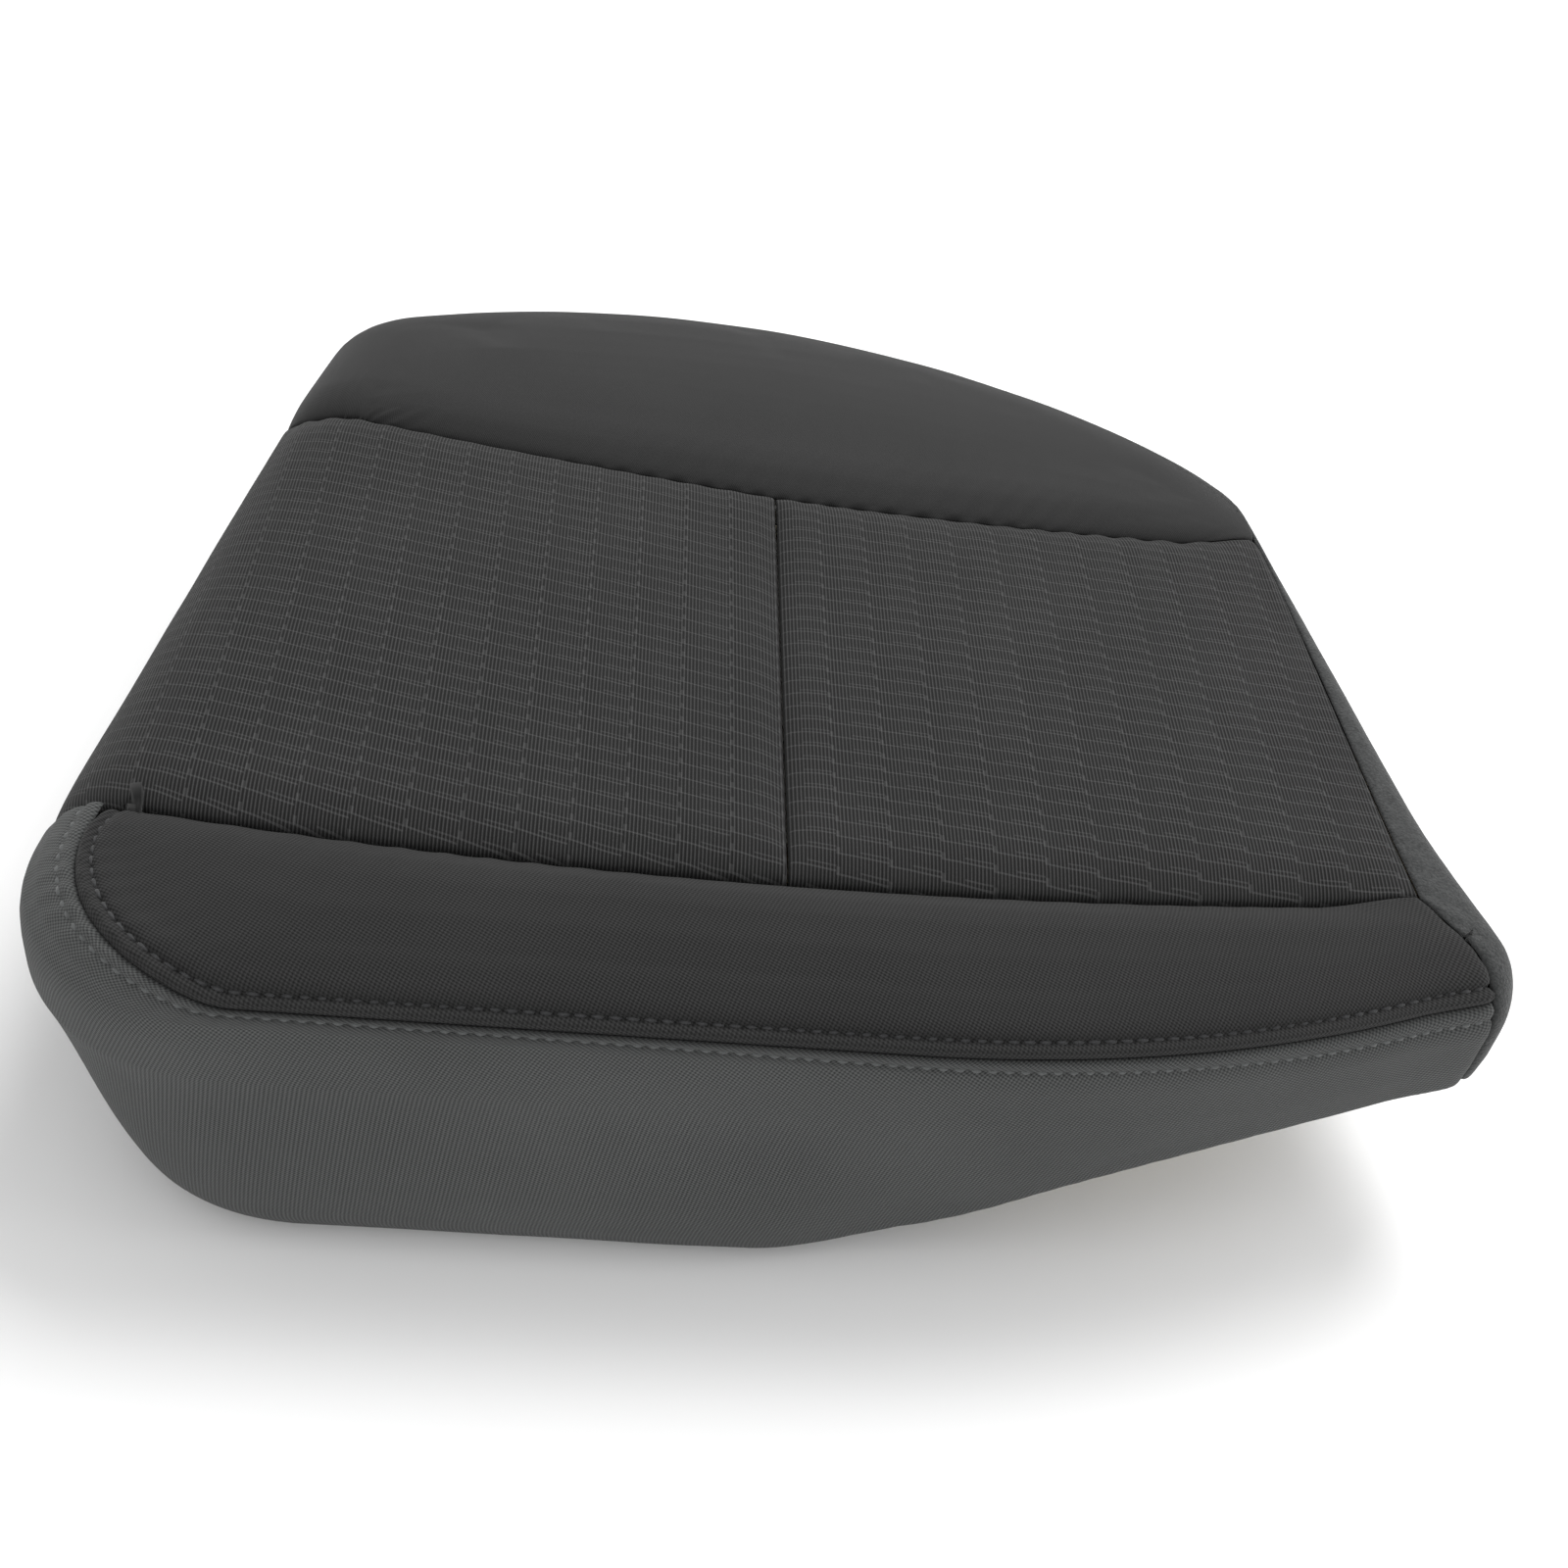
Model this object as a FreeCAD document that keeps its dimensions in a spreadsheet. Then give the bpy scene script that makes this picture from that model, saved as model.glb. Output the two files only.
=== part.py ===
"""Trimmed seat base cushion: a moulded foam pad inside a sewn fabric cover.

The pad is a rounded trapezoid that narrows towards the rear. Its left side is deep, and the underside
rises in an S to a thin right side, where a side shield would sit. The cover is nine sewn panels. Two
cross seams and one centre seam are pulled down into trenches in the foam by wires and hog rings, and
plastic J strips on the hem hook on the rim of the seat pan.

Frame, in millimetres: X to the right seen from the front, Y to the rear, Z up, with the origin at the
middle of the base.
"""
import FreeCAD
import Part
import Sketcher

import math
import os

from FreeCAD import Placement, Rotation, Vector

DIMENSIONS = {
    # overall form
    "overall_depth": 518.0,
    "overall_height": 134.0,
    "belt_height": 88.0,
    "left_reach": 273.0,
    "right_reach": 274.0,
    "left_taper": 8.4,
    "right_taper": 7.8,
    "front_bow_start": 46.0,
    "front_bow_radius": 560.0,
    "rear_arc_radius": 350.0,
    "rear_arc_shift": 42.0,
    # rounding, seen in plan
    "front_left_radius": 74.0,
    "front_right_radius": 25.0,
    "rear_right_radius": 30.0,
    "rear_left_radius": 60.0,
    "corner_tightening": 0.75,
    # rounding over the top edge
    "roll_height": 32.0,
    "roll_left": 42.0,
    "roll_front": 28.0,
    "roll_right": 15.0,
    "roll_rear": 44.0,
    # how far the walls lean in at the base
    "tuck_left": 22.0,
    "tuck_front": 4.0,
    "tuck_right": 6.0,
    "tuck_rear": 9.0,
    "base_roll_height": 20.0,
    "base_roll_width": 13.0,
    # underside rise to the thin right side
    "rise_start": -40.0,
    "rise_end": 240.0,
    "rise_height": 74.0,
    # cover
    "cover_thickness": 4.0,
    "seam_gap": 0.5,
    "hem_width": 22.0,
    "front_seam_set_back": 80.0,
    "rear_seam_set_back": 332.0,
    "rear_seam_angle": 4.4,
    "centre_seam_shift": 2.0,
    "french_seam_angle": 34.0,
    "stitch_offset": 7.0,
    "thread_radius": 0.6,
    "side_seam_inset": 13.0,
    "left_seam_height": 70.0,
    "apron_height": 78.0,
    # valleys along the tied-down seams
    "valley_radius": 26.0,
    "valley_depth": 11.0,
    # tie-down trenches, wires and rings
    "trench_width": 12.0,
    "trench_depth": 16.0,
    "trench_end": 8.0,
    "centre_trench_end": 24.0,
    "foam_wire_radius": 1.5,
    "trim_wire_radius": 1.25,
    "wire_spacing": 5.2,
    "wire_overrun": 14.0,
    "sleeve_wall": 1.2,
    "sleeve_clearance": 0.15,
    "ring_wire_radius": 0.9,
    "ring_clearance": 0.15,
    "ring_opening": 36.0,
    "ring_notch": 9.0,
    "ring_end_inset": 34.0,
    # J strips on the hem
    "strip_wall": 2.0,
    "strip_height": 13.0,
    "strip_gap": 3.0,
    "strip_lip": 9.0,
    "strip_lip_thickness": 1.2,
    "strip_tooth": 1.2,
    "strip_clearance": 0.4,
    "channel_clearance": 3.0,
    "front_strip_length": 98.0,
    "front_strip_end": 8.0,
    "side_strip_length": 196.0,
    "side_strip_middle": 132.0,
    "rear_strip_span": 16.0,
    "rear_strip_set_in": 118.0,
    # underside felt
    "felt_width": 104.0,
    "felt_depth": 250.0,
    "felt_x": -108.0,
    "felt_y": -35.0,
    "felt_corner_radius": 22.0,
}
DIMENSIONS_COUNT = {
    "cross_rings": 5,
    "centre_rings": 3,
}
SHEET = "dimensions"
FAR = 1200.0
ROLL_ANGLES = (0.0, 30.0, 55.0, 75.0, 90.0)
BASE_ROLL_ANGLES = (-90.0, -60.0, -30.0, 0.0)
SIDES = ("front", "right", "rear", "left")

doc = FreeCAD.newDocument("seat_base_cushion")


class Term:
    """A size kept twice: as a number, and as the expression that binds it to the sheet."""

    def __init__(self, value, text):
        self.value = float(value)
        self.text = text

    def _join(self, other, sign, value):
        text = other.text if isinstance(other, Term) else repr(float(other))
        return Term(value, f"({self.text} {sign} {text})")

    def __add__(self, other):
        return self._join(other, "+", self.value + number(other))

    def __sub__(self, other):
        return self._join(other, "-", self.value - number(other))

    def __mul__(self, other):
        return self._join(other, "*", self.value * number(other))

    def __truediv__(self, other):
        return self._join(other, "/", self.value / number(other))

    def __neg__(self):
        return self * -1.0


def number(size):
    return size.value if isinstance(size, Term) else float(size)


def cell(alias):
    return Term(DIMENSIONS[alias], f"{SHEET}.{alias}")


def cosine(alias):
    return Term(math.cos(math.radians(DIMENSIONS[alias])), f"cos({SHEET}.{alias} * 1 deg)")


def sine(alias):
    return Term(math.sin(math.radians(DIMENSIONS[alias])), f"sin({SHEET}.{alias} * 1 deg)")


DEGREE = Term(math.radians(1.0), "1 deg")


def make_sheet():
    sheet = doc.addObject("Spreadsheet::Sheet", SHEET)
    for row, (alias, value) in enumerate(DIMENSIONS.items(), start=1):
        sheet.set(f"A{row}", alias.replace("_", " "))
        sheet.set(f"B{row}", str(value))
        sheet.setAlias(f"B{row}", alias)
    doc.recompute()


def bind(thing, prop, size):
    """Sets a property from a size, and keeps it bound to the sheet where the size is a Term."""
    if isinstance(size, Term):
        thing.setExpression(prop, size.text)


# ---------------------------------------------------------------- sketches and bodies


def new_body(name):
    body = doc.addObject("PartDesign::Body", name)
    body.Label = name
    body.AllowCompound = True
    return body


def origin_feature(body, role):
    return next(f for f in body.Origin.OriginFeatures if f.Role == role)


def new_sketch(body, name, role="XY_Plane", offset=0.0):
    """A sketch on one of the body's own origin planes, moved along the plane's normal by offset."""
    sketch = body.newObject("Sketcher::SketchObject", name)
    sketch.AttachmentSupport = [(origin_feature(body, role), "")]
    sketch.MapMode = "FlatFace"
    sketch.AttachmentOffset = Placement(Vector(0, 0, number(offset)), Rotation())
    bind(sketch, "AttachmentOffset.Base.z", offset)
    return sketch


def dimension(sketch, kind, *references, size):
    """Adds a driving dimension, and binds it to the sheet where its size is a Term."""
    index = sketch.addConstraint(Sketcher.Constraint(kind, *references, number(size)))
    if isinstance(size, Term):
        sketch.renameConstraint(index, f"size_{index}")
        sketch.setExpression(f"Constraints.size_{index}", size.text)


def place_point(sketch, geometry, end, x, y):
    """Fixes a point at x, y in the sketch. A zero is held on the axis, because a dimension can't be zero."""
    for kind, size, axis in (("DistanceX", x, -2), ("DistanceY", y, -1)):
        if number(size) == 0.0 and not isinstance(size, Term):
            sketch.addConstraint(Sketcher.Constraint("PointOnObject", geometry, end, axis))
        else:
            dimension(sketch, kind, -1, 1, geometry, end, size=size)


def closed_polygon(sketch, corners):
    """Straight sides through the corners, each corner held at its own x and y."""
    points = [Vector(number(x), number(y), 0) for x, y in corners]
    count = len(points)
    for i in range(count):
        sketch.addGeometry(Part.LineSegment(points[i], points[(i + 1) % count]), False)
    for i in range(count):
        sketch.addConstraint(Sketcher.Constraint("Coincident", i, 2, (i + 1) % count, 1))
    for i, (x, y) in enumerate(corners):
        place_point(sketch, i, 1, x, y)


def pad(body, sketch, length, midplane=False):
    feature = body.newObject("PartDesign::Pad", sketch.Name + "_pad")
    feature.Profile = sketch
    feature.Length = number(length)
    bind(feature, "Length", length)
    feature.Midplane = midplane
    sketch.Visibility = False
    return feature


# ---------------------------------------------------------------- plan outline of the cushion


class Side:
    """One side of the plan outline: a straight line, or an arc that bulges outwards."""

    def __init__(self, point, inward=None, radius=None):
        self.point = point
        self.inward = inward
        self.radius = radius

    def moved_in(self, distance):
        if self.radius is None:
            return Side(self.point + self.inward * distance, self.inward)
        return Side(self.point, radius=self.radius - distance)

    def nearest(self, p):
        if self.radius is None:
            return p - self.inward * (p - self.point).dot(self.inward)
        out = p - self.point
        return self.point + out * (self.radius / out.Length)


def crossing(a, b, near):
    """Where two sides cross, starting from a point near the crossing."""
    p = near
    for _ in range(200):
        p = b.nearest(a.nearest(p))
    return p


def plan_sides(insets):
    """The four sides and the front bow, each moved in by its own inset, in order round the plan."""
    d = DIMENSIONS
    front_y = -d["overall_depth"] / 2
    seam_y = front_y + d["front_seam_set_back"]
    left, right = math.radians(d["left_taper"]), math.radians(d["right_taper"])
    rear_centre = Vector(-d["rear_arc_shift"], d["overall_depth"] / 2 - d["rear_arc_radius"], 0)
    bow_centre = Vector(d["front_bow_start"], front_y + d["front_bow_radius"], 0)
    sides = {
        "front": Side(Vector(0, front_y, 0), Vector(0, 1, 0)),
        "bow": Side(bow_centre, radius=d["front_bow_radius"]),
        "right": Side(Vector(d["right_reach"], seam_y, 0), Vector(-math.cos(right), -math.sin(right), 0)),
        "rear": Side(rear_centre, radius=d["rear_arc_radius"]),
        "left": Side(Vector(-d["left_reach"], seam_y, 0), Vector(math.cos(left), -math.sin(left), 0)),
    }
    moves = {"front": "front", "bow": "front", "right": "right", "rear": "rear", "left": "left"}
    return {name: side.moved_in(number(insets[moves[name]])) for name, side in sides.items()}


def plan_outline(sketch, insets, shrink, trim):
    """Draws the plan outline: five sides joined by four round corners, every joint tangent.

    insets moves each side in. shrink scales the corner radii, after trim is taken off them.
    """
    sides = plan_sides(insets)
    reach = DIMENSIONS["overall_depth"] / 2
    corners = {
        "front_right": ("bow", "right", Vector(reach, -reach, 0)),
        "rear_right": ("right", "rear", Vector(reach, reach * 0.4, 0)),
        "rear_left": ("rear", "left", Vector(-reach, reach * 0.6, 0)),
        "front_left": ("left", "front", Vector(-reach, -reach, 0)),
    }
    arcs = {}
    for name, (first, second, near) in corners.items():
        radius = (cell(name + "_radius") - trim) * shrink
        shrunk = [sides[s].moved_in(radius.value) for s in (first, second)]
        centre = crossing(*shrunk, near)
        arcs[name] = (centre, radius, sides[first].nearest(centre), sides[second].nearest(centre))

    def arc(centre, start, end):
        radius = (start - centre).Length
        angles = [math.atan2(p.y - centre.y, p.x - centre.x) for p in (start, end)]
        circle = Part.Circle(centre, Vector(0, 0, 1), radius)
        return Part.ArcOfCircle(circle, angles[0], angles[1])

    bow = sides["bow"].point
    bow_start = Vector(bow.x, bow.y - sides["bow"].radius, 0)
    around = [
        ("front", Part.LineSegment(arcs["front_left"][3], bow_start), None),
        ("bow", arc(bow, bow_start, arcs["front_right"][2]), None),
        ("front_right", arc(arcs["front_right"][0], *arcs["front_right"][2:]), arcs["front_right"][1]),
        ("right", Part.LineSegment(arcs["front_right"][3], arcs["rear_right"][2]), None),
        ("rear_right", arc(arcs["rear_right"][0], *arcs["rear_right"][2:]), arcs["rear_right"][1]),
        ("rear", arc(sides["rear"].point, arcs["rear_right"][3], arcs["rear_left"][2]), None),
        ("rear_left", arc(arcs["rear_left"][0], *arcs["rear_left"][2:]), arcs["rear_left"][1]),
        ("left", Part.LineSegment(arcs["rear_left"][3], arcs["front_left"][2]), None),
        ("front_left", arc(arcs["front_left"][0], *arcs["front_left"][2:]), arcs["front_left"][1]),
    ]
    place = {}
    for name, geometry, _ in around:
        place[name] = sketch.addGeometry(geometry, False)
    names = [name for name, _, _ in around]
    for name, following in zip(names, names[1:] + names[:1]):
        sketch.addConstraint(Sketcher.Constraint("Tangent", place[name], 2, place[following], 1))

    front_y = -(cell("overall_depth") / 2.0)
    sketch.addConstraint(Sketcher.Constraint("Horizontal", place["front"]))
    place_point(sketch, place["front"], 2, cell("front_bow_start"), front_y + insets["front"])
    dimension(sketch, "Radius", place["bow"], size=cell("front_bow_radius") - insets["front"])
    dimension(sketch, "Radius", place["rear"], size=cell("rear_arc_radius") - insets["rear"])
    place_point(sketch, place["rear"], 3, -cell("rear_arc_shift"),
                cell("overall_depth") / 2.0 - cell("rear_arc_radius"))
    for name, _, radius in around:
        if radius is not None:
            dimension(sketch, "Radius", place[name], size=radius)
    # The sloping sides: an angle to the Y axis, and the distance of the line from the origin.
    seam_y = front_y + cell("front_seam_set_back")
    for name, reach_alias, taper_alias in (
        ("right", "right_reach", "right_taper"),
        ("left", "left_reach", "left_taper"),
    ):
        turn = cell(taper_alias) * DEGREE
        angle = DEGREE * 90.0 + turn if name == "right" else DEGREE * -90.0 - turn
        dimension(sketch, "Angle", place[name], size=angle)
        away = cell(reach_alias) * cosine(taper_alias) + seam_y * sine(taper_alias) - insets[name]
        dimension(sketch, "Distance", -1, 1, place[name], size=away)
    return place


# ---------------------------------------------------------------- outer form and foam form


def section_at(angle, skin):
    """The cushion's section at one angle of its edge roll, from -90 (base) to 90 (top).

    Gives the height, the inset of each side, the shrink and the trim of the corner radii. skin is
    the distance the section lies inside the outer surface.
    """
    across, up = math.cos(math.radians(angle)), math.sin(math.radians(angle))
    if angle < 0.0:
        height = cell("base_roll_height") * (1.0 + up)
        rise = cell("belt_height") - height
        insets = {s: wall_lean(s) * rise + cell("base_roll_width") * (1.0 - across) for s in SIDES}
        shrink = 1.0
    else:
        height = cell("overall_height") - cell("roll_height") * (1.0 - up)
        insets = {s: cell("roll_" + s) * (1.0 - across) for s in SIDES}
        shrink = cell("corner_tightening") * (across - 1.0) + 1.0
    insets = {s: inset + skin * across for s, inset in insets.items()}
    return height - skin * up, insets, shrink, skin * across


def wall_lean(side):
    """How far a wall leans in for each millimetre below the belt."""
    return cell("tuck_" + side) / (cell("belt_height") - cell("base_roll_height"))


def wall_foot(skin):
    """The section at the top of the base roll, where the straight wall starts."""
    insets = {s: cell("tuck_" + s) + skin for s in SIDES}
    return cell("base_roll_height") + 0.0, insets, 1.0, skin


def wall_belt(skin):
    """The section at the belt, where the cushion is widest."""
    return cell("belt_height") + 0.0, {s: skin + 0.0 for s in SIDES}, 1.0, skin


def cushion_form(name, skin):
    """The closed form of the cushion, lofted through its sections from the base up."""
    body = new_body(name)
    levels = [section_at(angle, skin) for angle in BASE_ROLL_ANGLES if angle < 0.0]
    levels += [wall_foot(skin), wall_belt(skin)]
    levels += [section_at(angle, skin) for angle in ROLL_ANGLES]
    sketches = []
    for i, (height, insets, shrink, trim) in enumerate(levels):
        sketch = new_sketch(body, f"{name}_level_{i}", offset=height)
        plan_outline(sketch, insets, shrink, trim)
        sketches.append(sketch)
    doc.recompute()
    loft = body.newObject("PartDesign::AdditiveLoft", name + "_loft")
    loft.Profile = sketches[0]
    loft.Sections = sketches[1:]
    loft.Ruled = False
    doc.recompute()
    return body


def rise_region(name, skin):
    """Everything under the cushion: the flat base and the S rise to the right, skin above them."""
    body = new_body(name)
    sketch = new_sketch(body, name + "_profile", role="XZ_Plane")
    start, end, lift = cell("rise_start"), cell("rise_end"), cell("rise_height")
    run, climb = number(end) - number(start), number(lift)
    radius = (run * run + climb * climb) / (4.0 * climb)
    low = number(skin)
    middle = Vector(number(start) + run / 2.0, low + climb / 2.0, 0)
    foot = Vector(number(start), low, 0)
    head = Vector(number(end), low + climb, 0)

    def arc(centre, begin, finish):
        angles = [math.atan2(p.y - centre.y, p.x - centre.x) for p in (begin, finish)]
        return Part.ArcOfCircle(Part.Circle(centre, Vector(0, 0, 1), radius), *angles)

    floor = Vector(-FAR, low, 0)
    corners = [Vector(FAR, low + climb, 0), Vector(FAR, -FAR, 0), Vector(-FAR, -FAR, 0), floor]
    sketch.addGeometry(Part.LineSegment(floor, foot), False)
    sketch.addGeometry(arc(foot + Vector(0, radius, 0), foot, middle), False)
    sketch.addGeometry(arc(head - Vector(0, radius, 0), head, middle), False)
    for begin, finish in zip([head] + corners[:-1], corners):
        sketch.addGeometry(Part.LineSegment(begin, finish), False)
    sketch.addConstraint(Sketcher.Constraint("Tangent", 0, 2, 1, 1))
    sketch.addConstraint(Sketcher.Constraint("Tangent", 1, 2, 2, 2))
    sketch.addConstraint(Sketcher.Constraint("Tangent", 2, 1, 3, 1))
    for first, second in ((3, 4), (4, 5), (5, 6), (6, 0)):
        sketch.addConstraint(Sketcher.Constraint("Coincident", first, 2, second, 1))
    sketch.addConstraint(Sketcher.Constraint("Equal", 1, 2))
    for line in (0, 3, 5):
        sketch.addConstraint(Sketcher.Constraint("Horizontal", line))
    for line in (4, 6):
        sketch.addConstraint(Sketcher.Constraint("Vertical", line))
    place_point(sketch, 0, 2, start, skin)
    place_point(sketch, 3, 1, end, lift + skin)
    place_point(sketch, 5, 1, FAR, -FAR)
    dimension(sketch, "DistanceX", -1, 1, 5, 2, size=-FAR)
    pad(body, sketch, 2.0 * FAR, midplane=True)
    return body


def combine(kind, name, base, tool):
    """A boolean of two objects: Part::Cut, Part::Common or Part::Fuse."""
    result = doc.addObject(kind, name)
    result.Label = name
    result.Base = base
    result.Tool = tool
    return result


def gather(kind, name, shapes):
    """A Part::MultiFuse or a Part::Compound of several objects."""
    result = doc.addObject(kind, name)
    result.Label = name
    setattr(result, "Links" if kind == "Part::Compound" else "Shapes", shapes)
    return result


def move(thing, x, y, z, turn=0.0):
    """Places an object, turned about the vertical axis."""
    degrees = math.degrees(number(turn))
    at = Vector(number(x), number(y), number(z))
    thing.Placement = Placement(at, Rotation(Vector(0, 0, 1), degrees))
    for prop, size in (("Base.x", x), ("Base.y", y), ("Base.z", z)):
        bind(thing, "Placement." + prop, size)
    if degrees > 0.0:
        bind(thing, "Placement.Rotation.Angle", turn)
    return thing


def box(name, length, width, height, x, y, z, turn=0.0):
    """A Part::Box whose lowest corner is at x, y, z."""
    solid = doc.addObject("Part::Box", name)
    solid.Label = name
    for prop, size in (("Length", length), ("Width", width), ("Height", height)):
        setattr(solid, prop, number(size))
        bind(solid, prop, size)
    return move(solid, x, y, z, turn)


def rod(name, radius, length, x, z):
    """A Part::Cylinder lying along X at height z, starting at x."""
    solid = doc.addObject("Part::Cylinder", name)
    solid.Label = name
    for prop, size in (("Radius", radius), ("Height", length)):
        setattr(solid, prop, number(size))
        bind(solid, prop, size)
    at = Vector(number(x), 0, number(z))
    solid.Placement = Placement(at, Rotation(Vector(0, 1, 0), 90.0))
    bind(solid, "Placement.Base.x", x)
    bind(solid, "Placement.Base.z", z)
    return solid


# ---------------------------------------------------------------- where the seams run


def front_seam_y():
    return cell("front_seam_set_back") - cell("overall_depth") / 2.0


def rear_seam_y():
    return cell("rear_seam_set_back") - cell("overall_depth") / 2.0


def beyond_side_seam(name, shift):
    """The region outside the right side seam, from under the cushion to over it."""
    inset = cell("side_seam_inset") + shift
    x = cell("right_reach") - inset * cosine("right_taper") + sine("right_taper") * FAR
    y = front_seam_y() - inset * sine("right_taper") - cosine("right_taper") * FAR
    return box(name, FAR, 2.0 * FAR, 2.0 * FAR, x, y, -FAR, cell("right_taper") * DEGREE)


def behind_rear_seam(name, shift):
    """The region behind the rear seam, which slants a little towards the front on the right."""
    x = sine("rear_seam_angle") * shift - cosine("rear_seam_angle") * FAR
    y = rear_seam_y() + cosine("rear_seam_angle") * shift + sine("rear_seam_angle") * FAR
    return box(name, 2.0 * FAR, FAR, 2.0 * FAR, x, y, -FAR, -(cell("rear_seam_angle") * DEGREE))


def outline_prism(name, insets, shrink, trim, bottom, length):
    """The plan outline, moved in by insets and padded upwards from the height bottom."""
    body = new_body(name)
    sketch = new_sketch(body, name + "_outline", offset=bottom)
    plan_outline(sketch, insets, shrink, trim)
    pad(body, sketch, length)
    return body


def thread(name, angle_shift):
    """A row of top stitching that follows the edge roll, stitch_offset from the French seam."""
    radius = (cell("roll_front") + cell("roll_height")) / 2.0
    reach = cell("stitch_offset") / radius * Term(math.degrees(1.0), repr(math.degrees(1.0)))
    angle = cell("french_seam_angle") + reach * angle_shift
    height, insets, shrink, trim = section_at(number(angle), Term(0.0, "0"))
    body = new_body(name + "_run")
    path = new_sketch(body, name + "_path", offset=height)
    plan_outline(path, insets, shrink, trim)
    doc.recompute()
    circle = new_sketch(body, name + "_section", role="YZ_Plane", offset=cell("front_bow_start"))
    circle.addGeometry(Part.Circle(Vector(0, 0, 0), Vector(0, 0, 1), DIMENSIONS["thread_radius"]), False)
    dimension(circle, "Radius", 0, size=cell("thread_radius"))
    place_point(circle, 0, 3, insets["front"] - cell("overall_depth") / 2.0, height)
    doc.recompute()
    pipe = body.newObject("PartDesign::AdditivePipe", name + "_pipe")
    pipe.Profile = circle
    pipe.Spine = (path, [])
    doc.recompute()
    return body


def seam_valleys(name, skin):
    """The round-bottomed valleys that the tied-down seams pull into the top: front, rear, centre."""
    radius = cell("valley_radius") + skin
    height = cell("overall_height") - cell("valley_depth") + cell("valley_radius")
    across = (rod(f"{name}_{i}", radius, 2.0 * FAR, -FAR, height) for i in range(2))
    centre_length = rear_seam_y() - front_seam_y()
    centre = rod(name + "_centre", radius, centre_length, front_seam_y(), height)
    front, rear, centre = (gather("Part::Compound", f"{r.Name}_set", [r]) for r in (*across, centre))
    move(front, 0.0, front_seam_y(), 0.0)
    move(rear, 0.0, rear_seam_y(), 0.0, -(cell("rear_seam_angle") * DEGREE))
    move(centre, cell("centre_seam_shift"), 0.0, 0.0, DEGREE * 90.0)
    return [front, rear, centre]


def upholstered_form(name, skin):
    """The cushion's whole form with its rise and seam valleys, skin inside the outer surface."""
    form = combine("Part::Cut", name + "_risen", cushion_form(name + "_blank", skin),
                   rise_region(name + "_floor", skin))
    for i, valley in enumerate(seam_valleys(name + "_valley", skin)):
        form = combine("Part::Cut", f"{name}_form_{i}", form, valley)
    return form


# ---------------------------------------------------------------- sewn cover


def make_cover(outer, inner):
    """The hollow cover: the skin of the cushion, open underneath inside the hem."""
    skin = cell("cover_thickness")
    hem = outline_prism("hem_opening", hem_insets(), 1.0, cell("hem_width"), -FAR, 2.0 * FAR)
    opening = combine("Part::Common", "cover_opening", hem, rise_region("cover_opening_floor", skin))
    shell = combine("Part::Cut", "cover_shell", outer, inner)
    return combine("Part::Cut", "cover", shell, opening)


def hem_insets():
    """How far the inner edge of the hem lies inside the plan outline."""
    inset = cell("base_roll_width") + cell("hem_width")
    return {s: wall_lean(s) * cell("belt_height") + inset for s in SIDES}


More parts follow.
